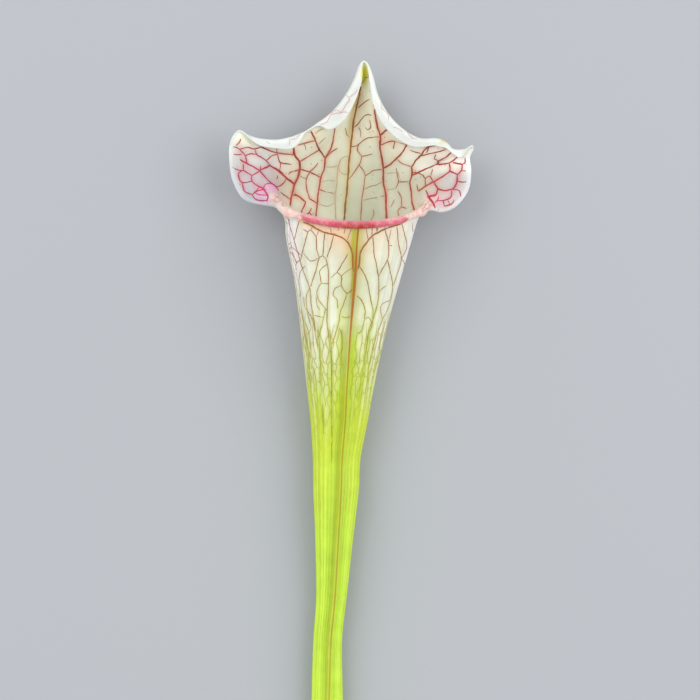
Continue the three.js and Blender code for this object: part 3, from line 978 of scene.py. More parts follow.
HOOD_VEINS = (
    strokes(Region.HOOD, 0.68, Shade.AMBER, """
348.7 163 349 159.5 351.7 136.7 354.4 115 357.1 104.2 359.6 92 361 85
""")
    + strokes(Region.HOOD, 0.74, Shade.BARK, """
344 219 345.4 203 347.4 183.4 348.7 163
""")
    + strokes(Region.HOOD, 0.92, None, """
289.4 207.6 289.8 204 290.6 197 292.7 189.3 293.9 182.8 297.3 176.3 299.2 168.6 298.8 160.2 294.2 153.3
293.2 146, 293.9 182.8 286.2 177 278.6 170.1 270.1 165.2
""")
    + strokes(Region.HOOD, 1.14, None, """
299.2 168.6 297.3 176.3 294.4 182, 284.6 175.6 280 171.4 277 169.2
""")
    + strokes(Region.HOOD, 0.8, None, """
386.9 219 386.5 202.2 386.1 191.7 383.7 179.7 383.7 166.4 381.9 155.2 380.2 143.9 380.5 134.1 377.4 125
374.6 108, 415 210.8 413.9 206.8 412.8 203 411.8 191.7 410.4 181.1 412.5 174.1 412.1 165.7
""")
    + strokes(Region.HOOD, 0.56, None, """
270.1 165.2 266.3 160.2 256.8 154.5 254.8 149.5 260.2 146.6
""")
    + strokes(Region.HOOD, 0.64, None, """
315.4 219 316.8 201.5 318.7 186.2 320.6 175.5 323.7 167.8 325.2 156.4 329.8 148 332.5 140.3 334.8 126
""")
    + strokes(Region.HOOD, 0.66, Shade.BRANCH, """
325.2 156.4 320.6 150.2 316 141.8 313.8 135.7 310.6 130, 383.7 166.4 391.1 162.2 398.1 155.9 403.7
149.6 406.8 143.9 407.2 138, 412.1 165.7 416.3 159.4 420.9 154.5 425.4 148.9 428.9 146.1
""")
    + strokes(Region.HOOD, 0.66, None, """
412.5 174.1 421.9 169.9 429.6 166.4 436.7 163.6 439.5 160.1 447.2 155.9 451.4 152
""")
    + strokes(Region.HOOD, 0.66, None, """
270.1 165.2 259.4 170.1 268.6 180.9 274 184.7 278.6 190.4, 259.4 170.1 253.3 166.7 246.8 163.3 240
159.4, 436.7 164 449.3 162.5 453 160.5 458.4 156, 449.7 163.3 450 170.6 440.2 177.6 434.2 181.1 426.1
185.5 419 190.3, 450 170.6 457.7 174.3 461.9 169.9 462.4 164 453 162.2, 457.5 174.3 457 182.5 454.2
187.5 450.7 189.2 443.7 190.3 438.1 188.2 434.2 181.1, 438.1 188.2 435.3 195.4 428.9 196.4 434.6 205.5
435.8 210, 380.5 134 384 131 388.2 127.8, 300.7 212 303 206 305.3 200.7 300 196.5 293.9 192.3, 293.9
182.8 293 189
""")
    + strokes(Region.HOOD, 0.5, None, """
260.2 146.6 266.3 148.7 277 152.2 293.9 153.3, 420.9 155 433.2 152.4 446 149.5, 246.8 163.3 245.3
155.6 239.5 149.5 247.2 147.2 254.8 149.5, 245.3 155.6 251 153.7 256.8 154.5, 243.4 170.1 251.8 175.5
259.4 170.9, 251.8 175.5 251.8 180.9 255.6 184.4 259.4 187, 243.4 170.1 239 172.5 238.8 178.6 242.6
182.4 251.8 180.9, 242.6 182.4 244.1 190.8 252.5 194.7 259.4 187, 290 198.5 280.1 191.6, 286.2 177
283.9 180.9 282.4 183.1 278.6 185.8 274.4 185.6, 277 153.3 280.1 161.7 285.4 162.5 290.8 163.3, 266.3
160 271 155.6 277 153.3, 299 160.4 308.4 154.8 318.4 148.6, 297.5 144.4 308.2 140.9 315 139.5, 320.6
175.9 309.2 170.1 313.8 166.3 317.6 161, 309.2 170.1 300 167.8, 309.2 170.9 306.1 177 305.7 184.7
307.3 191.6, 308.4 196.9 316.8 201.5, 406.8 143.9 411 142.6 417.7 144.3, 381.6 143.2 389.6 140.1
395.3 140.1 393.5 147.5, 425.9 189.9 427.5 193.2 428.4 196.6, 448.2 200.5 450 205, 243.3 163.8 243.3
169.6, 280.2 162 279.7 166.5 279 170, 276.4 148.1 276.9 152.2, 260.7 145.9 265 146.2 268.2 144.9,
288.3 173.6 289.6 171 292.1 170.3, 307.8 192 309 197.6, 311 206.5 308.8 211.5 305.6 213.6, 308.8
211.5 311.4 214, 232.5 146.6 236 147.4 239.5 148.9, 410.7 149.2 415.1 150.9 421 152.5, 290.6 194 298
194.6 300 196.5, 300 167.8 293 170, 325 156 330.5 150.6 337 146.4, 325.2 190 318.7 187.6, 414 171
421 172.6 425.9 177.9, 427 152 430 146.2 437.5 143, 439 160 434.6 158 436 153.8, 451.9 188.8 450.8
197.4 443.2 200.2 436.7 200.7, 443.2 200.2 444.3 206.1 451.9 203.9 454 199.6, 451.9 188.8 459.5 190.9
460.6 196.4, 457 181 463 181.8 470 181.1, 462.2 170.3 469.3 171.4, 465.5 157.3 464.9 162.7 462.4 164
, 425.9 185.4 425.9 177.9 430.2 175.2 433.5 181, 433 168.4 431.3 174.7, 417.2 183.3 418.4 190, 252.5
194.7 254.7 198.5 261.2 200.8 267 200.4, 266.6 189.9 260 189.9 255.8 192, 234.4 168.2 239 170.3 243.3
170.3, 241 138.9 239.5 142.2 236 145.4, 233.6 154 237.3 154.6 241.7 154, 260 170.3 260.7 165.5,
277.5 174.7 276.4 179
""")
    + strokes(Region.HOOD, 0.74, Shade.ROSE, """
419 190.3 426.1 185.5 434.2 181.1 440.2 177.6
""")
    + strokes(Region.HOOD, 0.74, Shade.CERISE, """
427.5 196.4 431 200.2 433.6 204.2 434.8 208.4, 428.2 196 432 195.6 435.4 193.8, 258.3 186.2 263.3
188.5 265.6 192.3 267.8 195.6 267.4 201.5
""")
    + strokes(Region.HOOD, 0.5, Shade.CERISE, """
255 192.6 259 194.8 263.3 194.8 267.6 195.6, 264 188.6 264.4 185.4 267.5 183.6 272 183.8 276.5 187,
434.6 202.9 437.6 199.8 438.6 196.4
""")
    + strokes(Region.HOOD, 0.26, Shade.RUST, """
311.6 130.8 308.9 131.7, 315.4 132.4 318.9 129.3 323.4 127.9, 319.2 142.2 322 138.9 325.4 136.2,
302.4 142.2 304.6 144.3 305.6 148.9, 300 174.5 303.6 176.4 306 177, 358.7 124.8 360.6 129 360.4 135.6
, 395.6 140 401 142.2 406 143.6, 429.7 146 438.9 145.6 447.6 148.7 450.9 149.8, 364.1 187.7 370 185
376 183.2 382.5 180.2, 364.4 198.6 371.5 196.6 378 196, 386.5 194.6 382.2 194.2 380.8 195, 345.2
125.6 346 130 346.8 133 349.4 134.6, 362 82.6 364.4 78 366.8 76 370.4 77.4, 368 74 369.6 76 371 79.6,
398.1 170 399.8 176, 404.4 206 402 205.6, 391 206 393.4 201 395 198, 372 217 374.4 212 373 208,
326.3 190.3 333.8 191.6
""")
    + strokes(Region.HOOD, 0.4, Shade.RUST, """
396 186.8 398.8 181.1 397.7 173.4 396.7 166.4, 398.8 180.4 408.6 180.4, 398.1 189.6 401.6 195.9 401.9
205.7 407.2 207.5, 401.9 205.7 398.4 209.9 400.2 218, 398 158 400.9 161.1 412.1 165.4, 369.8 98 363.6
101.6 358.2 106.1, 371.6 114.1 367.1 113.2 361.8 116.8 358.2 122.1 353.9 125.5, 369.8 118.6 370.7
125.7 368 128.4 365.4 125.7, 379.6 135.5 373.4 135.5 367.1 136.4 361.8 140 356.4 143.6 351.4 144.6,
359.1 142.7 357.3 147.1 361.8 154.3 368 153.4 372.5 152.1, 361.8 154.3 360 161.4 352.9 172.1 348.8 177
, 359.1 163.2 363.6 168.6 365.4 173.9 369.8 171.3 374.3 168.2 382 167.7
""")
    + strokes(Region.HOOD, 0.26, Shade.OLIVE, """
318.9 202.4 326.2 204.6 333.8 201.8, 350 154.3 344.8 154.6 340.4 157.9 338.6 163.2 340.4 170.4 347.6
173, 325.2 165 333.2 165 338.7 163.2, 337.7 165 336.8 179.3 335 195.4 335.9 219, 320.8 180.4 325 179
330 178.6 334.8 179.4, 386.8 172.1 391.6 171.2 396.6 171.3, 385.6 188.8 390.6 187.6 395.7 187.3
""")
    + strokes(Region.HOOD, 0.36, Shade.RUST, """
365.4 173.9 363.6 186.4 361.8 200.7 360.9 219
""")
    + strokes(Region.EAR, 0.26, Shade.CURL_LINE, """
273.5 196 277 196.6 280.5 199.5 282 202, 271 199.5 275 201 279.5 204.6 284 207.6, 277.5 193.6 282 196
285.5 200 288 204.5, 432 203 429.5 206.5 426 209.5 422 212, 430 200.5 427 203.5 424.6 207.4 421.4
209.6, 425 199.8 422.5 203 419.5 206.6
""")
    + strokes(Region.FLAP, 0.28, Shade.PURPLE, """
355 75.5 352 79 349.6 83, 330.6 111.9 325.6 116.3 321 119.4 315.6 121.8, 341.4 111.8 336 109.4 331
112.3 327.4 110, 300 133 296 137.5 290.6 138.9, 384.2 96 379 93, 377.9 87.4 380.5 92 380.9 101.1,
407 131 412 137 417 138.6, 345.8 94.4 349.6 97.7 349 100.4 346.3 103.1 343.6 107.5 341.4 111.8 332.2
113.4 328.4 118.3 326.8 121.6, 349.6 96.6 354.4 92.7 358 88.5, 326.8 121.3 320.3 123.9, 341.4 111.8
346 111 351 113.4, 289.4 138.5 289.4 144.5, 266 141 270 143.5, 380.9 101.1 382 107.5 388 113.5 388.6
119.4, 393.4 126.4 397.7 127.4 403 131.4
""")
)

TUBE_VEINS = (
    strokes(Region.FRONT, 0.66, Shade.AMBER, """
303.7 223.2 310.8 226.2 319 230.8 325.6 233.9 335.3 235.9 341.4 238.5 346.5 242 350.1 247.1 352.1 253.3
352.7 261.4 353.2 269.6 355.2 275.7, 402.7 223.7 394.5 226.7 385.3 229.8 377.1 233.9 371 238 365.9
244.1 361.8 250.2 359.8 256.3 359.3 263.5 357.8 270
""")
    + strokes(Region.FRONT, 0.22, Shade.RUST, """
328.7 337 330 348 331.2 361 331.4 401 331.6 440 331.5 463, 322.4 404 323.6 434
""")
    + strokes(Region.FRONT, 0.42, None, """
288.4 220.5 294.5 241 300.1 260.4 304.7 274.7 309.8 288 311.8 307.3 315.9 330.8, 299.6 221.6 297 231
294.5 240, 303.7 230.3 308.3 232.9 304.7 245.1 302 256 300.4 261, 308.3 232.9 310.8 230.8 316.4 238
316.9 250.2 319.5 258.4 322.6 256.3 326.1 259.4, 325.1 233.5 324 245 323.1 255.8, 333.8 237 330 250
327.1 258.4, 326.1 259.4 328.2 267.6 328.7 283.9 328.2 297.1 327.1 317.6 328.7 338, 319.5 258.4 315.9
271.6 310.8 286.9, 347.6 255.3 342 265 337.3 272.7 341.4 276.7 341.4 285.9 347 294.1 352 290, 358.8
266.5 364.9 275.7 368.5 288 371 302.2 373.1 310.4, 372.6 238 374.1 255.3 376.6 267.6 378.2 276.7 378.7
292 377.1 305.3 373.1 318.6 368 332.9 366.4 349, 384.8 231 388.4 246.1 387.3 259.4 378.2 276.7, 387.3
260.4 392.4 284.9 390.4 302.2, 396.5 227.8 398.6 246.1 401.1 259.4 393.5 284.9, 401.6 224.7 404.6 236
406.7 247.1 401.1 259.4, 356.7 296.1 361.8 301.2 364.9 309.4 364.4 318.6
""")
    + strokes(Region.FRONT, 0.32, None, """
327.4 264.6 323.1 268.1 320 271.6 320.5 278.8 321.5 283.9 328.2 283.9, 321 284 316.9 292 319 300 327
311, 340.9 285.9 335.3 289 333.3 295.1 336.8 300.2 337.9 308.4, 347 294.6 343.5 304.3 340.4 312.4
339.4 319.6 337.3 327.8 334.3 338 331.2 345.1, 339.4 327.8 341.9 336.9 342.4 349.2, 302 256.5 297.5
252 291.5 247, 309.8 288 306.5 296 307.5 312 311 326, 341.4 276.7 348 271 353.4 268, 316.6 237.6
319.4 231.4, 339.9 226.7 337.9 231.8, 345.5 228.8 344 234.9, 351.4 229.8 349.6 235 347.5 241, 312.8
227 311.6 230.6, 330.5 229 331.5 234, 368 240.5 366 229.5, 376.8 233.6 376 228, 384.8 230.8 384.4
226.5, 390.6 229 391.2 225.5, 401.1 259.4 404.5 262.5 402 276, 379.2 291 383.3 288 386.3 285.4,
389.9 300.2 382.2 304.3 380.2 309.4 382.2 319.6 378.2 330.8 375.1 339 373.1 349.2, 382.2 319.6 387.3
310.4 390.4 302.2, 364.4 319.6 368 317 372 322.7, 364.4 319.6 361.8 329.8 358.3 333.9, 373.1 310.4
372 325.7 369 332.9, 385.3 321.6 381.2 336.9 379.2 349.2, 329.7 224.2 329.2 229.3, 372.1 227.8 371.5
238, 377.7 225.7 377.1 231.8, 412.9 222.7 412.3 227.8 413.4 230.3, 303.7 254 307 257.4 310.3 261.6
314.9 260.8 318.5 258.6, 291.9 245.1 290.4 250.2 295.5 259.4 297 263.5, 300.6 260.4 296.5 263.5 296
270.6, 316.4 297.1 317 305.3 320 310.4, 325.6 308.9 323.6 318.6 320.5 330.8 319 337, 314.9 315.5 319
316.5 323 317.6, 305.7 308.4 309.8 314.5 314.9 321.6, 303.7 297.1 304.7 307.3, 337.3 272.7 334 275.6
331.2 278.8, 301.6 308.4 303.7 322.7 305.7 336.9 307.2 349.2, 305.7 322.7 308.8 332.9 310.3 349.2,
310.8 314.5 313.9 325.7 315.9 336.9 318 349.2, 341.4 316.5 345.5 317.8 350.6 316.5, 305.3 266.5 300.5
272 299.2 280 300.6 297, 329.7 330 331 342 331.7 357 331.9 387 331.4 404 331.9 441 331.6 452, 317.5
330 319 340 319.5 350 320.5 361 321 383, 341.4 330 342 344 341.6 357 342.5 366, 306.7 336 308.3 349
309.3 361 310.4 387, 368 336 367 344 364.5 359 363.4 366 360 387 358.6 400, 381.2 345.3 378.2 356.5
375.1 368 372 379 370.5 391, 376.1 338 372 350 370 361 368 371 367 383 365 395, 323 412 324 420 325.7
428
""")
    + strokes(Region.FRONT, 0.28, Shade.CRIMSON, """
286 222 288.4 224.4, 288.8 244.6 291.6 242.8, 292 250 294.4 257 297 264.4, 390.7 231 388.8 239 388.4
246.1 392 246.4
""")
)


@dataclass
class Lines:
    """Veins under way on one face: places on the blade, widths and colours, line after line."""

    blade: Blade
    face: Face
    step: float = 0.45
    wander: float = 0.09
    proud: float = 0.3
    rng: np.random.Generator = field(default_factory=lambda: np.random.default_rng(7))
    columns: list[Array] = field(default_factory=list)
    rows: list[Array] = field(default_factory=list)
    widths: list[Array] = field(default_factory=list)
    shades: list[Array] = field(default_factory=list)
    strengths: list[Array] = field(default_factory=list)

    def wave(self, reached: Array) -> Array:
        """Smooth unevenness along a line: two sines with random starts."""
        a, b = self.rng.uniform(0, 2 * math.pi, 2)
        return 0.6 * np.sin(reached * 0.9 + a) + 0.4 * np.sin(reached * 2.3 + b)

    def add(
        self, column: Array, row: Array, width: Number, shade: Array | None, strength: Number = 1.0
    ) -> None:
        """Adds a line through places on the blade, evenly stepped and slightly uneven.

        Args:
            column: The line's places among the columns.
            row: Its places among the rows.
            width: Its width in millimetres, at each place or all along.
            shade: Its colour as a shader takes it, or None for the colour of the place.
            strength: How far its colour stands out from the leaf's, at each place or all along.
        """
        if len(column) < 2:
            return
        grid = self.blade.points[self.face]
        points = self.blade.read(grid, column, row)
        reached = travelled(points)
        if reached[-1] < self.step or np.any(np.diff(reached) <= 1e-6):
            return
        ones = np.ones_like(reached)
        table = np.stack([reached, column, row, width * ones, strength * ones], -1)
        at = np.linspace(0, reached[-1], max(3, int(reached[-1] / self.step) + 1))
        column, row, width, strength = np.moveaxis(through(table, at), -1, 0)
        end = np.minimum(at, reached[-1] - at)
        width = width * (1 + 0.2 * self.wave(at)) * mix(0.75, 1.0, ease(0, 1.2, end))
        self.columns.append(column)
        self.rows.append(row)
        self.widths.append(np.maximum(width, 0.06))
        self.strengths.append(strength)
        if shade is None:
            self.shades.append(vein_shades(self.blade.read(grid, column, row)))
        else:
            self.shades.append(np.tile(shade, (len(at), 1)))

    def _course(self, column: Array, row: Array) -> tuple[Array, Array, Array]:
        """A line's points, wandering slightly, and its directions off the face and aside."""
        place = self.blade.read(self.blade.points[self.face], column, row)
        up = unit(self.blade.read(self.blade.normals[self.face], column, row))
        side = unit(np.cross(up, unit(np.gradient(place, axis=0))))
        reached = np.arange(len(column)) * self.step
        inside = ease(0, 1.5, np.minimum(reached, reached[-1] - reached))
        return place + side * (self.wander * self.wave(reached) * inside)[:, None], up, side

    def all_places(self) -> tuple[Array, Array, Array]:
        """Every place on every line, with its width times its strength."""
        weights = np.concatenate(self.widths) * np.concatenate(self.strengths)
        return np.concatenate(self.columns), np.concatenate(self.rows), weights

    def build(self, name: str, finish: bpy.types.Material, ground: Array) -> bpy.types.Object:
        """Builds every line as a low rounded ridge on the face.

        Formula: at each place four points across, at -1, -0.4, 0.4 and 1 half-widths, the outer two
        sunk into the face and the inner two raised.

        Args:
            name: The piece's name.
            finish: Its material.
            ground: The leaf's own colour by column and row, into which a weak line fades.

        Returns:
            The piece.
        """
        across, heights = np.array([-1.0, -0.4, 0.4, 1.0]), np.array([-0.35, 1.0, 1.0, -0.35])
        fringe = np.array(Shade.FRINGE.linear)
        points, tones, faces, start = [], [], [], 0
        for line in zip(self.columns, self.rows, self.widths, self.shades, self.strengths):
            column, row, width, shade, strength = line
            place, up, side = self._course(column, row)
            reach = (across[None] * width[:, None] / 2)[..., None]
            height = (width[:, None] * self.proud * heights[None])[..., None]
            section = place[:, None] + side[:, None] * reach + up[:, None] * height
            points.append(section.reshape(-1, 3))
            base = self.blade.read(ground, column, row)
            core = mix(base, shade, strength[:, None])
            crimson = 1 - ease(0.16, 0.34, shade[:, 1] / shade[:, 0])
            red = (ease(-3, 6, place[:, 1]) * crimson)[:, None]
            rim = mix(mix(base, core, 0.8), mix(core, fringe, 0.5), red)
            tones.append(np.stack([rim, core, core, rim], 1).reshape(-1, 4))
            number = start + np.arange(len(column) * 4).reshape(-1, 4)
            corners = [number[:-1, :-1], number[:-1, 1:], number[1:, 1:], number[1:, :-1]]
            faces.append(np.stack(corners, -1).reshape(-1, 4))
            start += number.size
        place = self.blade.metres(np.concatenate(points))
        piece = make_piece(name, place, faces, {"tone": np.concatenate(tones)})
        piece.data.materials.append(finish)
        return piece


def vein_shades(place: Array) -> Array:
    """The colour that a vein has where it runs.

    Formula: along the tube from green to rust and crimson, and on the hood from crimson by the middle
    to rose at the lobes.

    Args:
        place: Points, in millimetres.

    Returns:
        Colours as a shader takes them.
    """
    y, aside = place[:, 1], np.abs(place[:, 0] - 3)
    by_height = (
        (-120, (172, 200, 52)), (-70, (170, 184, 50)), (-50, (166, 158, 56)), (-36, (162, 130, 66)),
        (-20, (158, 106, 74)), (-6, (160, 86, 74)), (6, (154, 64, 58)),
    )
    low = through([(height, *linear(*colour)) for height, colour in by_height], y)
    rose = ease(16, 34, aside)[:, None]
    high = mix(np.array(Shade.CRIMSON.linear), np.array(Shade.ROSE.linear), rose)
    return np.clip(mix(low, high, ease(-2, 10, y)[:, None]), 0, 1)


@dataclass
class VeinNet:
    """All the veins: those drawn on the front view, and a fine net that fills the rest of the leaf."""

    blade: Blade
    seed: int = 11
    weakest: float = 0.08
    deepest: float = 13.4
    mouth: Span = (4.6, 24)
    sectors: Table = ((-62, 62, 0.0), (63, 101, 0.0), (-101, -63, 0.0), (102, 171, 1.0), (-171, -102, 1.0))

    def __post_init__(self) -> None:
        """Lays the drawn veins and the net on both faces."""
        self.lines = {
            face: Lines(self.blade, face, rng=np.random.default_rng(self.seed)) for face in Face
        }
        self.rng = np.random.default_rng(self.seed + 1)
        self._drawn()
        self._tube_net()
        self._hood_net()
        self._lobe_net()

    def _drawn(self) -> None:
        """Puts the drawn veins where they are seen, and the hood's on its back and down the tube too."""
        for stroke in HOOD_VEINS + TUBE_VEINS:
            face, angles, marks = stroke.region.value
            shade = None if stroke.shade is None else np.array(stroke.shade.linear)
            for x, y in self._bends(stroke.points):
                column, row = self.blade.seen_at(x, y, face, angles, marks)
                self.lines[face].add(column, row, stroke.width, shade)
                if stroke.region is Region.HOOD:
                    self.lines[Face.OUTER].add(column, row, stroke.width * 0.9, shade, 0.8)
                    self._deep(column, row, stroke.width, shade)

    def _deep(self, column: Array, row: Array, width: float, shade: Array | None) -> None:
        """Lets a vein of the hood that reaches the mouth go on down the tube, on both its faces.

        Formula: the vein keeps its lean at first, turns along the tube, sways a little and fades.

        Args:
            column: The vein's places among the columns.
            row: Its places among the rows.
            width: Its width in millimetres.
            shade: Its colour as a shader takes it, or None for the colour of the place.
        """
        if len(row) < 3:
            return
        if row[0] < row[-1]:
            column, row = column[::-1], row[::-1]
        x, y = self.blade.read(self.blade.points[Face.INNER], column, row)[-1, :2]
        if y > self.mouth[0] or abs(x) > self.mouth[1]:
            return
        share = np.linspace(0, 1, 40)
        down = share * (row[-1] - self.blade.place(0.0, self.deepest)[1])
        lean = np.clip((column[-3] - column[-1]) / (row[-3] - row[-1]), -0.7, 0.7)
        sway = 0.5 * np.sin(down / 4) * ease(0, 9, down)
        columns = column[-1] - 6 * lean * (1 - np.exp(-down / 6)) + sway
        widths = width * mix(0.95, 0.55, share)
        for face, strength in ((Face.INNER, 1.0), (Face.OUTER, 0.8)):
            fading = strength * (1 - ease(0.35, 1, share))
            self.lines[face].add(columns, row[-1] - down, widths, shade, fading)

    @staticmethod
    def _bends(points: tuple[Span, ...]) -> list[Pair]:
        """A drawn line in millimetres, finely stepped, and cut where it turns sharply, so corners stay."""
        line = (np.array(points) - np.array([350, 220])) * np.array([0.35, -0.35])
        way = unit(np.diff(line, axis=0))
        sharp = np.flatnonzero((way[1:] * way[:-1]).sum(1) < 0.45) + 1
        cuts = [0, *sharp, len(line) - 1]
        parts = []
        for a, b in zip(cuts[:-1], cuts[1:]):
            part = line[a : b + 1]
            reached = travelled(part)
            at = np.linspace(0, reached[-1], max(3, int(reached[-1] / 0.9) + 1))
            parts.append(tuple(np.moveaxis(through(np.column_stack([reached, part]), at), -1, 0)))
        return parts

    def net(
        self, across: Array, along: Array, jitter: float, zigzag: float = 0.24, missing: float = 0.0
    ) -> tuple[list[Pair], list[Pair]]:
        """A net of six-sided cells: wavy lines along the leaf, and links between them.

        Formula: a grid whose points shift to and fro by turns, which makes bricks into hexagons, with
        random shifts on top.

        Args:
            across: Angles of the lines that run along.
            along: Row marks of the points on them.
            jitter: The largest random shift, as a share of a cell.
            zigzag: The shift to and fro, as a share of a cell.
            missing: The share of links that are left out, which leaves longer cells.

        Returns:
            The lines along and the links, each as angles and row marks.
        """
        i, j = np.meshgrid(np.arange(len(across)), np.arange(len(along)), indexing="ij")
        a = i + zigzag * (-1.0) ** (i + j) + self.rng.uniform(-jitter, jitter, i.shape)
        b = j + self.rng.uniform(-jitter, jitter, i.shape)
        step = across[1] - across[0]
        angle = across[0] + a * step
        mark = np.interp(b, np.arange(len(along)), along)
        chains = [(angle[k], mark[k]) for k in range(len(across))]
        links = []
        for k, m in zip(*np.nonzero((i + j)[:-1] % 2 == 0)):
            middle = self.rng.uniform(-0.12, 0.12)
            if self.rng.random() < missing:
                continue
            angles = np.array([angle[k, m], (angle[k, m] + angle[k + 1, m]) / 2, angle[k + 1, m]])
            rise = mark[k + 1, m] - mark[k, m]
            marks = np.array([mark[k, m], mark[k, m] + rise / 2 + middle, mark[k + 1, m]])
            links.append((angles, marks))
        return chains, links

    def _tube_net(self) -> None:
        """The net round the tube, with long cells that fade out where the tube turns green."""
        for low, high, drawn in self.sectors:
            top = 19.4 if abs(low) in (63, 101) else 17.4
            marks = np.sort(np.concatenate([np.linspace(10.6, top, 26), self.rng.uniform(11, top, 6)]))
            chains, links = self.net(np.arange(low, high, 7.5 if drawn else 10.0), marks, 0.26, 0.16, 0.25)
            for width, lines in ((0.32, chains), (0.26, links)):
                for angle, mark in lines:
                    column, row = self.blade.place(angle, mark)
                    plain = mix(0.25, 1.0, drawn) * ease(14.2, 15.0, mark)
                    self._shown(column, row, width, 0.85 * ease(10.8, 13.2, mark) * (1 - plain))
        for angle in np.arange(-168, 169, 10.5) + self.rng.uniform(-3, 3, 33):
            mark = np.linspace(self.rng.uniform(1, 4), self.rng.uniform(10.5, 14), 24)
            column, row = self.blade.place(angle + self.rng.uniform(-0.4, 0.4, len(mark)), mark)
            self._shown(column, row, 0.26, 0.5 * ease(1, 9, mark))

    def _shown(self, column: Array, row: Array, width: float, strength: Array) -> None:
        """Adds the parts of a net line that are strong enough to be seen on the outer face."""
        seen = strength > self.weakest
        edges = np.flatnonzero(np.diff(np.concatenate([[False], seen, [False]]).astype(int)))
        for start, end in zip(edges[::2], edges[1::2]):
            part = slice(start, end)
            widths = width * mix(0.7, 1.0, strength[part])
            self.lines[Face.OUTER].add(column[part], row[part], widths, None, strength[part])

    def _hood_net(self) -> None:
        """A faint fine net between the main veins on the back of the hood."""
        angles = np.arange(-62, 62.1, 8.0)
        marks = np.linspace(17.5, 25, 11)
        chains, links = self.net(angles, marks, 0.3, 0.2, 0.35)
        for angle, mark in chains + links:
            column, row = self.blade.place(angle, mark)
            self.lines[Face.OUTER].add(column, row, 0.24, np.array(Shade.RUST.linear), 0.5)

    def _lobe_net(self) -> None:
        """A closer net on the backs of the two side lobes."""
        marks = np.linspace(19.5, 27, 8)
        for angles in (np.arange(-96, -63, 5.5), np.arange(64, 97, 5.5)):
            chains, links = self.net(angles, marks, 0.25)
            for angle, mark in chains + links:
                column, row = self.blade.place(angle, mark)
                self.lines[Face.OUTER].add(column, row, 0.26, None, 0.6)

    def spread(self, face: Face, reach: float, strength: float = 2.2) -> Array:
        """How near the veins of a face are, by column and row.

        Formula: each vein's points are added to the grid by nearness, then smoothed with a bell curve,
        and the sum s becomes 1 - exp(-strength s).

        Args:
            face: The face.
            reach: The bell's half-width, in grid steps.
            strength: How fast the value grows with the veins near by.

        Returns:
            Values of 0 to 1.
        """
        column, row, weight = self.lines[face].all_places()
        shape = self.blade.middle.shape[:2]
        total = np.zeros(shape)
        i, j = np.floor(column).astype(int), np.floor(row).astype(int)
        u, v = column - i, row - j
        for on, up in ((0, 0), (1, 0), (0, 1), (1, 1)):
            share = (u if on else 1 - u) * (v if up else 1 - v)
            np.add.at(total, ((i + on) % shape[0], np.minimum(j + up, shape[1] - 1)), share * weight)
        size = int(reach * 3)
        weights = np.exp(-0.5 * (np.arange(-size, size + 1) / reach) ** 2)
        weights /= weights.sum()
        around = sum(w * np.roll(total, k, 0) for k, w in zip(range(-size, size + 1), weights))
        padded = np.pad(around, ((0, 0), (size, size)), mode="edge")
        along = sum(w * padded[:, k : k + shape[1]] for k, w in enumerate(weights))
        return 1 - np.exp(-strength * along)

    def near_thick(self, face: Face) -> Array:
        """How near a thick vein is, by column and row: the veins' spread above the level of a thin one."""
        return np.clip((self.spread(face, 1.0, 1.8) - 0.2) / 0.6, 0, 1)

    def build(self, grounds: dict[Face, Array]) -> None:
        """Builds the veins of both faces."""
        finish = VeinFinish().material()
        self.lines[Face.INNER].build("veins_inside", finish, grounds[Face.INNER])
        self.lines[Face.OUTER].build("veins_outside", finish, grounds[Face.OUTER])


Masks = dict[str, dict[Face, Array]]


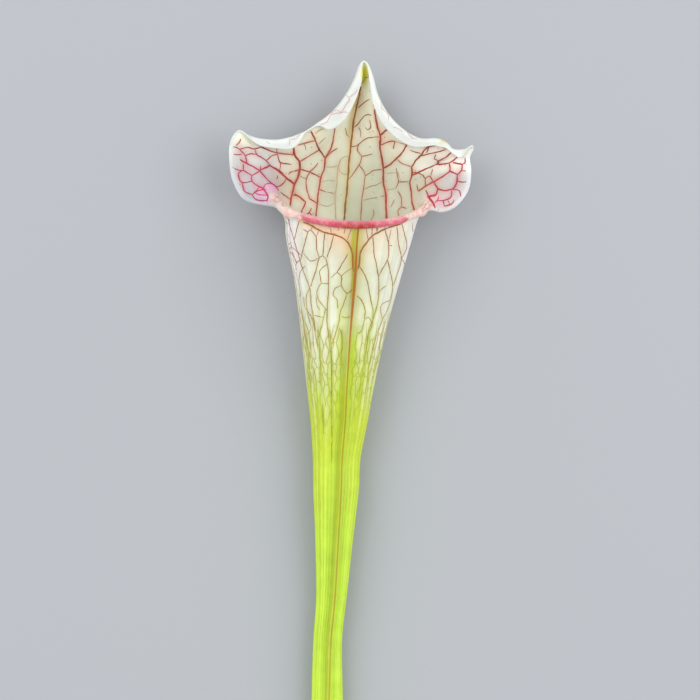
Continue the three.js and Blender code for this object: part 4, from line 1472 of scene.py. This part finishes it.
@dataclass
class Skin:
    """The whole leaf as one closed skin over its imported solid."""

    blade: Blade
    net: VeinNet
    greening: Table = (
        (-224, 1.2), (-84, 1.2), (-72, 1.02), (-63, 0.92), (-56, 0.79), (-49, 0.62), (-42, 0.47), (-35, 0.36),
        (-28, 0.26), (-21, 0.17), (-14, 0.1), (-7, 0.05), (4, 0.0), (60, 0.0),
    )
    blushes: Table = (
        (-31.3, 10.1, 1.7), (-27.8, 11.0, 2.5), (-31.0, 7.8, 2.2), (-29.2, 6.8, 1.6), (29.2, 7.9, 2.1),
        (31.4, 5.9, 1.9), (27.8, 8.8, 1.4),
    )
    shawl_edge: Table = (
        (-18.5, -0.6), (-16.2, -1.1), (-10.5, -3.9), (-5.3, -5.6), (-1.4, -7.7), (0.7, -11.6), (2.3, -14),
        (4.2, -10.5), (7.35, -6.3), (12.3, -3.5), (18.5, -1.3),
    )
    midrib: Table = ((0, -2.1), (6, -1.6), (13, -0.9), (20, -0.45), (29, 0.6), (36.7, 1.54), (60, 4.0))
    curls: Table = ((-25.2, 6.9, 3.6, 1.9, -31), (27.4, 5.4, 3.8, 1.9, 40))
    seam_width: Table = (
        (-224, 0.15), (-90, 0.17), (-60, 0.23), (-40, 0.32), (-30, 0.42), (-22, 0.47), (-15, 0.43),
        (-9, 0.31), (14, 0.27),
    )

    def __post_init__(self) -> None:
        """Notes each point's x, y, row mark, angle from the back, way from the seam, and part."""
        blade = self.blade
        self.x, self.y = blade.middle[..., 0], blade.middle[..., 1]
        self.mark = np.broadcast_to(blade.row_marks[None], self.x.shape)
        self.near = np.broadcast_to(np.abs(blade.nominal)[:, None], self.x.shape)
        self.beside = self._beside_seam()
        self.as_lip = ease(100, 116, self.near)
        self.as_hood = ease(-14, 2, self.y) * (1 - self.as_lip)
        self.rightward = ease(-1, 1, self.x)

    def _beside_seam(self) -> Array:
        """How far each place is from the seam round the front, in millimetres, left of it below 0."""
        blade = self.blade
        _, width = np.moveaxis(through(blade.form.tube, self.y), -1, 0)
        turn = np.radians(np.abs(blade.nominal))[:, None]
        at_seam = blade.column_to_seam[:, None] == 1
        arc = np.where(at_seam, blade.column_gap[:, None], (math.pi - turn) * width)
        return arc * blade.column_side[:, None] * np.where(self.near >= 180, 0, 1)

    def _streaks(self) -> Array:
        """Fine streaks along the leaf: noise by column, evened out far along and a little across."""
        noise = np.random.default_rng(23).normal(size=self.x.shape)
        for shift in (1, 2, 1):
            noise = noise + 0.5 * (np.roll(noise, shift, 0) + np.roll(noise, -shift, 0))
        weights = np.exp(-0.5 * (np.arange(-30, 31) / 11) ** 2)
        padded = np.pad(noise, ((0, 0), (30, 30)), mode="reflect")
        noise = sum(w * padded[:, k : k + noise.shape[1]] for k, w in enumerate(weights))
        return noise / noise.std()

    @staticmethod
    def _laid(inner: float, outer: float, **masks: Array) -> Masks:
        """Masks by name, at a given share of their values on the inner face and on the outer one."""
        return {name: {Face.INNER: inner * mask, Face.OUTER: outer * mask} for name, mask in masks.items()}

    def masks(self) -> Masks:
        """Works out the masks that the finish reads, on both faces, by column and row.

        Formula: steps and bell curves of x and y in millimetres, of the row mark, of the angle from the
        back and of the way from the seam. A step runs from its first number to its second.

        Returns:
            Values of 0 to 1 by mask name and face.
        """
        tube = self._seam_masks() | self._green_masks() | self._tube_masks()
        return tube | self._hood_masks() | self._margin_masks() | self._spot_masks()

    def _right_of_seam(self) -> Array:
        """A narrow band down the right side of the seam."""
        return ease(0, 0.5, self.beside) * (1 - ease(1.6, 3.6, self.beside))

    def _seam_masks(self) -> Masks:
        """The seam's dark edge, and the olive strip, the glow and the ochre band beside it."""
        y, beside = self.y, self.beside
        reach = mix(1.1, 2.1, ease(-22, -6, y))
        strip = ease(-reach - 0.5, -reach + 0.3, beside) * (1 - ease(0.2, 0.6, beside))
        strip = strip * mix(0.4, 0.9, ease(-36, -22, y))
        glow = bell(beside + 0.2, 3.0) * mix(0.3, 0.64, ease(-40, -8, y)) * ease(-70, -30, y)
        ochre = 0.4 * self._right_of_seam() * ease(-12, -22, y) * (1 - ease(-34, -44, y))
        edge = 1 - ease(0.7, 1.35, np.abs(beside) / through(self.seam_width, y)[..., 0])
        strip = np.maximum(np.maximum(strip, glow), ochre)
        outside = self._laid(0, 1, seam_strip=strip, seam_edge=edge)
        return outside | self._laid(1, 1, seam_low=ease(-18, -74, y))

    def _green_masks(self) -> Masks:
        """The tube's green with its streaks, deeper by the seam and round the pale cells of the net."""
        y, beside = self.y, self.beside
        streak = self._streaks()
        right = 0.5 * self._right_of_seam() * ease(-30, -44, y) * (1 - ease(-50, -64, y))
        right = right - 0.1 * ease(0, -3, beside) * ease(-30, -38, y) * (1 - ease(-52, -60, y))
        across = ease(-0.4, 0.2, beside)
        by_seam = bell(beside + 0.2, 2.2) * ease(mix(-26, -20, across), mix(-56, -40, across), y)
        level = through(self.greening, y)[..., 0] + 0.1 * streak * ease(-16, -40, y)
        level = level + 0.4 * by_seam + right
        cells = 0.75 * ease(-4, -40, y) * (1 - ease(-52, -72, y))
        spread = {face: self.net.spread(face, 0.9) - 0.45 for face in Face}
        green = {face: np.clip(level + spread[face] * cells, 0, 1) for face in Face}
        return {"green": green} | self._laid(1, 1, streak=np.clip(0.5 + 0.3 * streak + by_seam, 0, 1))

    def _tube_masks(self) -> Masks:
        """The tube's front in painted shade, its sides in painted light, the tinge under the lip, and the way
        down to the foot.
        """
        x, y, near, beside = self.x, self.y, self.near, self.beside
        # Painted shade: the front, which faces the light, is darkened, less on the right, where the lip
        # already shades it.
        shaded_right = 1 - 0.7 * ease(0.5, 3, beside) * ease(-16, -8, y)
        front = 0.75 * bell(beside, 10) * ease(-36, -22, y) * shaded_right
        edge_y = through(self.shawl_edge, x)[..., 0]
        shawl = np.maximum(0.8 * ease(edge_y, edge_y + 0.6, y), bell(y - edge_y, 0.8))
        inward = ease(-9, -5, x)
        tail = mix(0.4, 0.6, inward) * bell(np.maximum(edge_y - y, 0), mix(3.2, 6.5, inward))
        # The tinge is the leaf's own colour; it is weaker on the right, painted light where the lip shades
        # the tube.
        shawl = mix(0.8, 0.42, ease(-4, 6, x)) * np.maximum(shawl, tail) * ease(-19, -16.6, x)
        shawl = shawl * (1 - ease(17, 19.5, x)) * ease(100, 110, near)
        # Painted light: the tube's sides, which turn from the light, are lightened, the left one more.
        flank = mix(1.0, 0.75, self.rightward) * (1 - ease(100, 126, near)) * ease(84, 96, near)
        flank = flank * ease(-30, -14, y)
        low, stalk, foot = ease(-6, -24, y), ease(-70, -120, y), ease(-196, -226, y)
        outside = self._laid(0, 1, front=front, shawl=shawl, flank=flank)
        inside = self._laid(1, 0, throat=ease(10, -30, y))
        return outside | inside | self._laid(1, 1, low=low, stalk=stalk, foot=foot, cut=np.zeros_like(y))

    def _hood_masks(self) -> Masks:
        """The hood's colours: painted light on its top, its sides, its low middle and where light falls, its
        lobes, and blushes by veins.
        """
        x, y = self.x, self.y
        # Painted light: the low middle of the hood and two strips by the midrib are lightened against the
        # shade there.
        low_hood = ease(9, 3, y) * bell(x + 7, 5)
        groove = low_hood + bell(x + 3.4, 1.6) * ease(20, 12, y)
        groove = groove + 0.3 * bell(x - 1.2, 1.2) * (1 - ease(2, 14, y))
        outer_right = ease(20, 26, x)
        lit_right = 0.8 * ease(14, 21, x) * ease(mix(19, 14.5, outer_right), mix(23, 20, outer_right), y)
        lit_left = 0.6 * ease(-14, -22, x) * ease(24, 26.5, y) * ease(-36, -31, x)
        lit = np.maximum(np.maximum(lit_right, lit_left), 0.22 * low_hood)
        off_midrib = 1 - 0.85 * bell(x - through(self.midrib, y)[..., 0], 2.4)
        fringe = 0.55 * self.net.near_thick(Face.INNER) * off_midrib * (1 - 0.6 * lit)
        rosy = 0.2 * bell(x + 28, 9) * bell(y - 14, 6) + 0.24 * bell(x - 32, 5) * bell(y - 8.5, 4.5)
        # Painted light: the top of the hood, which its folds shade, is lightened, and its upper left corner
        # too.
        crown = ease(12, 34, y) * (1 - 0.3 * ease(20, 32, np.abs(x)))
        crown = crown + 0.4 * ease(24, 29, y) * ease(-28, -34, x)
        # Painted light: the hood's sides, which turn from the light, are lightened.
        side = ease(5, 17, np.abs(x - 1.5)) * (1 - 0.7 * bell(y - 13, 5))
        lobe = np.maximum(ease(-20, -31, x), 0.75 * ease(24, 36, x)) * self.as_hood
        groove, fringe = 0.6 * np.minimum(groove, 1.4), fringe + rosy * (1 - fringe)
        halo = {
            Face.INNER: 0.26 * self.net.spread(Face.INNER, 1.2),
            Face.OUTER: mix(0.6, 0.34, ease(-30, -8, y)) * self.net.spread(Face.OUTER, 1.7, 2.8),
        }
        inside = self._laid(1, 0, lit=lit, groove=groove, fringe=fringe, crown=crown)
        both = self._laid(1, 0.25, hood=self.as_hood) | self._laid(1, 1, side=side, lobe=lobe)
        return inside | both | {"halo": halo}

    def _margin_masks(self) -> Masks:
        """The hood's pale margin and turned flap, and the roll of the lip."""
        mark, near = self.mark, self.near
        fold_at = self.blade.form.tube_marks + self.blade.form.hood_marks
        rim = mix(0.25, 0.45, self.rightward) * ease(24.6, 27, mark)
        rim = rim * ease(58, 66, near) * (1 - ease(96, 104, near))
        flap = ease(fold_at + 1.2, fold_at + 2.6, mark) * (1 - ease(62, 80, near))
        return self._laid(1, 1, rim=rim, flap=flap, lip=self.as_lip * ease(22, 24, mark))

    def _spot_masks(self) -> Masks:
        """Single spots: blushes and curls by the ends of the lip, the tip, and the stains."""
        x, y = self.x, self.y
        blush, curl = np.zeros_like(y), np.zeros_like(y)
        for middle_x, middle_y, reach in self.blushes:
            away = np.hypot(x - middle_x, y - middle_y) / reach
            blush = np.maximum(blush, 1 - ease(0.3, 1.2, away))
        blush = mix(0.75, 0.62, self.rightward) * blush * ease(50, 60, self.near)
        for middle_x, middle_y, half_length, half_width, lean in self.curls:
            cosine, sine = math.cos(math.radians(lean)), math.sin(math.radians(lean))
            ahead = (x - middle_x) * cosine + (y - middle_y) * sine
            aside = (y - middle_y) * cosine - (x - middle_x) * sine
            away = np.hypot(ahead / half_length, aside / half_width)
            curl = np.maximum(curl, 0.68 * (1 - ease(0.75, 1.1, away)))
        tip = 1 - ease(0.6, 1.1, np.hypot((x - 5.2) / 1.5, (y - 51.2) / 4.2))
        rise = np.clip((y - 30) / 16, 0, 1)
        stain = 0.62 * bell(x - mix(-0.2, 2.6, rise), 1.3) * ease(24, 32, y) * (1 - ease(44, 49, y))
        midrib = bell(x - through(self.midrib, y)[..., 0], 0.85) * ease(1, 6, y) * (1 - ease(30, 36, y))
        corner = np.exp(-((x - 32.6) ** 2 + (y - 27.2) ** 2) / 1.6)
        stains = {Face.INNER: np.maximum(stain, 0.5 * midrib), Face.OUTER: 0.6 * corner}
        return self._laid(1, 0.6, blush=blush) | self._laid(1, 1, curl=curl, tip=tip) | {"stain": stains}

    def ground(self, face: Face) -> Array:
        """The leaf's own colour on a face, roughly, by column and row."""
        pale = Shade.HOOD if face is Face.INNER else Shade.TUBE_TOP
        greening = ease(-20, -66, self.y)[..., None]
        return mix(np.array(pale.linear), np.array(Shade.TUBE_GREEN.linear), greening)

    def build(self) -> bpy.types.Object:
        """Builds the skin: outer face, margin, inner face and the two closed ends."""
        blade, form = self.blade, self.blade.form
        outer, inner = blade.points[Face.OUTER], blade.points[Face.INNER]
        count, rows = outer.shape[:2]
        first = int(np.flatnonzero((self.y > form.hollow_end).all(0))[0])
        rings = np.concatenate([outer, inner[:, first:][:, ::-1]], 1)
        depth = rings.shape[1]
        ends = np.stack([form.tube_axis(form.cut_end), form.tube_axis(form.hollow_end)])
        points = np.concatenate([rings.reshape(-1, 3), ends])
        number = np.arange(count * depth).reshape(count, depth)
        beside = np.roll(number, -1, 0)
        quads = np.stack([number[:, :-1], number[:, 1:], beside[:, 1:], beside[:, :-1]], -1).reshape(-1, 4)
        cut = np.stack([np.full(count, count * depth), number[:, 0], beside[:, 0]], -1)
        closed = np.stack([beside[:, -1], number[:, -1], np.full(count, count * depth + 1)], -1)
        masks = {}
        for name, values in self.masks().items():
            grid = np.concatenate([values[Face.OUTER], values[Face.INNER][:, first:][:, ::-1]], 1)
            masks[name] = np.append(grid.ravel(), [1.0 if name == "cut" else grid[0, 0], grid[0, -1]])
        piece = make_piece("leaf_skin", blade.metres(points), [quads, cut, closed], masks)
        piece.data.materials.append(LeafFinish().material())
        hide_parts("pitcher")
        return piece


@dataclass(frozen=True)
class LipFinish(Finish):
    """The lip's finish: wet glands, with painted highlight on their tops and painted shade between them,
    where they look crimson.
    """

    name: str = "lip"
    roughness: float = 0.34
    glow: float = 0.3
    coat: float = 0.35
    bump: float = 0.3
    blotch: float = 420.0
    cell: float = 3200.0

    def material(self) -> bpy.types.Material:
        """Builds the material from the lip's own masks."""
        material, sheet, shader, grain = self.start()
        cloud = sheet.math("MULTIPLY_ADD", grain.outputs["Mottle"], 2.4, -1.0, clamp=True)
        cloud = sheet.math("MULTIPLY", cloud, 0.4)
        # The pale coat is a painted highlight along the top of the roll.
        colour = sheet.coats(
            Shade.LIP_CREAM, ("pink", Shade.LIP_PINK), ("pale", Shade.LIP_CREAM), ("red", Shade.LIP_RED),
            (cloud, Shade.LIP_CREAM),
        )
        # Painted highlight and painted shade: brighter on the glands' tops and darker between them.
        self.paint(sheet, shader, colour, sheet.mask("gland"), 0.3)
        return material


@dataclass
class Lip:
    """The glandular roll along the front of the mouth."""

    form: LeafForm
    angles: Span = (116.0, 244.0)
    end_length: float = 8.0
    pink_angles: Span = (135.5, 233.0)
    stations: int = 420
    around: int = 34
    skin_gap: float = 0.03
    swell: float = 0.14
    gland: float = 0.075

    def glands(self) -> Array:
        """Smooth random bumps: noise evened out over its neighbours, from 0 to 1."""
        noise = np.random.default_rng(5).normal(size=(self.stations, self.around))
        for _ in range(2):
            along = 2 * noise + np.roll(noise, 1, 0) + np.roll(noise, -1, 0)
            noise = along + np.roll(noise, 1, 1) + np.roll(noise, -1, 1)
        noise /= noise.std()
        return np.clip(0.5 + 0.3 * noise, 0, 1)

    def build(self) -> bpy.types.Object:
        """Builds the roll.

        Formula: a ring of radius r in the plane of the roll's up and out directions, carried along its
        middle line, where r is the blade's own roll plus a swelling and the glands.
        """
        form = self.form
        angle = np.linspace(*self.angles, self.stations)
        turn = np.linspace(0, 2 * math.pi, self.around, endpoint=False)
        edge, up, out, radius = form.roll_frame(angle)
        middle = edge + out * radius[:, None]
        gland = self.glands()
        size = self._size(angle, gland) + (radius - form.lip_radius)[:, None]
        ring = -out[:, None] * np.cos(turn)[None, :, None] + up[:, None] * np.sin(turn)[None, :, None]
        rings = middle[:, None] + ring * size[..., None]
        points = np.concatenate([rings.reshape(-1, 3), middle[[0, -1]]])
        total = self.stations * self.around
        number = np.arange(total).reshape(self.stations, self.around)
        beside = np.roll(number, -1, 1)
        quads = np.stack([number[:-1], number[1:], beside[1:], beside[:-1]], -1).reshape(-1, 4)
        first = np.stack([np.full(self.around, total), number[0], beside[0]], -1)
        last = np.stack([np.full(self.around, total + 1), beside[-1], number[-1]], -1)
        masks = {
            name: np.append(values.ravel(), [values[0, 0], values[-1, 0]])
            for name, values in self._masks(angle, turn, middle[:, 0], gland).items()
        }
        place = (points - np.array([form.middle_x, form.middle_y, 0])) * MM
        piece = make_piece("lip_roll", place, [quads, first, last], masks)
        piece.data.materials.append(LipFinish().material())
        return piece

    def _size(self, angle: Array, gland: Array) -> Array:
        """The roll's radius by station and turn: it swells out of the blade, and more where it is pink."""
        low, high = self.angles
        pink_from, pink_to = self.pink_angles
        reach = np.minimum(ease(low, low + self.end_length, angle), ease(high, high - self.end_length, angle))
        pink = ease(pink_from - 1.2, pink_from + 1.2, angle) * (1 - ease(pink_to - 3, pink_to, angle))
        base = self.form.lip_radius + self.form.wall / 2 * 0.55
        plain = mix(base - 0.25, base + self.skin_gap + 0.2, reach)
        bumps = self.gland * (gland - 0.4) * mix(0.5, 1.0, pink)[:, None]
        return plain[:, None] + (self.swell * pink)[:, None] + bumps

    def _masks(self, angle: Array, turn: Array, x: Array, gland: Array) -> dict[str, Array]:
        """How pink and red the roll is, its painted highlight along the top, and its glands, by station and
        turn.
        """
        pink_from, pink_to = self.pink_angles
        high = np.sin(turn)[None]
        centre = bell(x - 2.6, 6.0)[:, None]
        beyond = mix(0.2, 0.5, ease(pink_to, pink_to + 4, angle))
        ragged = angle[:, None] + (1.5 * np.sin(2 * turn + 0.6) + 1.1 * np.sin(5 * turn))[None]
        painted = ease(-1.6, 1.6, ragged - pink_from) * (1 - ease(-3.0, 0.4, ragged - pink_to))
        return {
            "pink": mix(beyond[:, None], 1.0, painted),
            "red": np.minimum(0.26 + 1.2 * centre, 1) * ease(1.15, 0.1, high) * painted,
            # Painted highlight along the top of the roll, less at its middle.
            "pale": 0.5 * ease(0.3, 1.0, high) * (1 - 0.85 * centre) * np.ones_like(gland),
            "gland": gland,
        }


@dataclass(frozen=True)
class Studio:
    """The plain floor, the soft light and the camera straight above."""

    view_middle: Span = (-0.0007, 0.0385)
    view_height: float = 0.245
    level: float = 0.02
    lens: float = 250.0
    sensor: float = 36.0
    floor_side: float = 12.0

    def floor(self) -> None:
        """A large pale floor with a matt finish."""
        half = self.floor_side / 2
        corners = [(-half, -half, 0), (half, -half, 0), (half, half, 0), (-half, half, 0)]
        mesh = bpy.data.meshes.new("floor")
        mesh.from_pydata(corners, [], [(0, 1, 2, 3)])
        material = bpy.data.materials.new("floor")
        material.use_nodes = True
        shader = material.node_tree.nodes["Principled BSDF"]
        shader.inputs["Base Color"].default_value = linear(170, 173, 178)
        shader.inputs["Roughness"].default_value = 0.9
        mesh.materials.append(material)
        shown("floor", mesh)

    def lights(self) -> None:
        """A large soft light above to the left, a slightly stronger and larger one to the right, and a pale
        sky.
        """
        for name, place, side, watts in (
            ("key", (-0.9, 0.7, 1.5), 1.1, 10.4),
            ("fill", (1.1, 0.3, 1.3), 1.3, 11.0),
        ):
            lamp = bpy.data.lights.new(name, "AREA")
            lamp.size = side
            lamp.energy = watts
            holder = shown(name, lamp)
            holder.location = place
            aim = Vector((0, 0.05, 0)) - Vector(place)
            holder.rotation_euler = aim.to_track_quat("-Z", "Y").to_euler()
        world = bpy.data.worlds.new("pale sky")
        world.use_nodes = True
        background = world.node_tree.nodes["Background"]
        background.inputs["Color"].default_value = linear(228, 229, 230)
        background.inputs["Strength"].default_value = 1.1
        bpy.context.scene.world = world

    def camera(self) -> None:
        """A camera straight above, with a long lens and the hood's tip at the top of the picture."""
        data = bpy.data.cameras.new("camera")
        data.lens = self.lens
        data.sensor_width = self.sensor
        holder = shown("camera", data)
        distance = self.view_height * self.lens / self.sensor
        holder.location = (*self.view_middle, self.level + distance)
        bpy.context.scene.camera = holder

    def build(self) -> None:
        """Builds the camera, the floor and the lights."""
        self.camera()
        self.floor()
        self.lights()
        bpy.context.scene.view_settings.view_transform = "Standard"


def main() -> None:
    """Builds the studio, the leaf and what grows on it, in that order."""
    logging.basicConfig(level=logging.INFO, format="%(name)s: %(message)s")
    Studio().build()
    blade = Blade()
    net = VeinNet(blade)
    skin = Skin(blade, net)
    skin.build()
    net.build({face: skin.ground(face) for face in Face})
    Lip(blade.form).build()


if __name__ == "__main__":
    main()
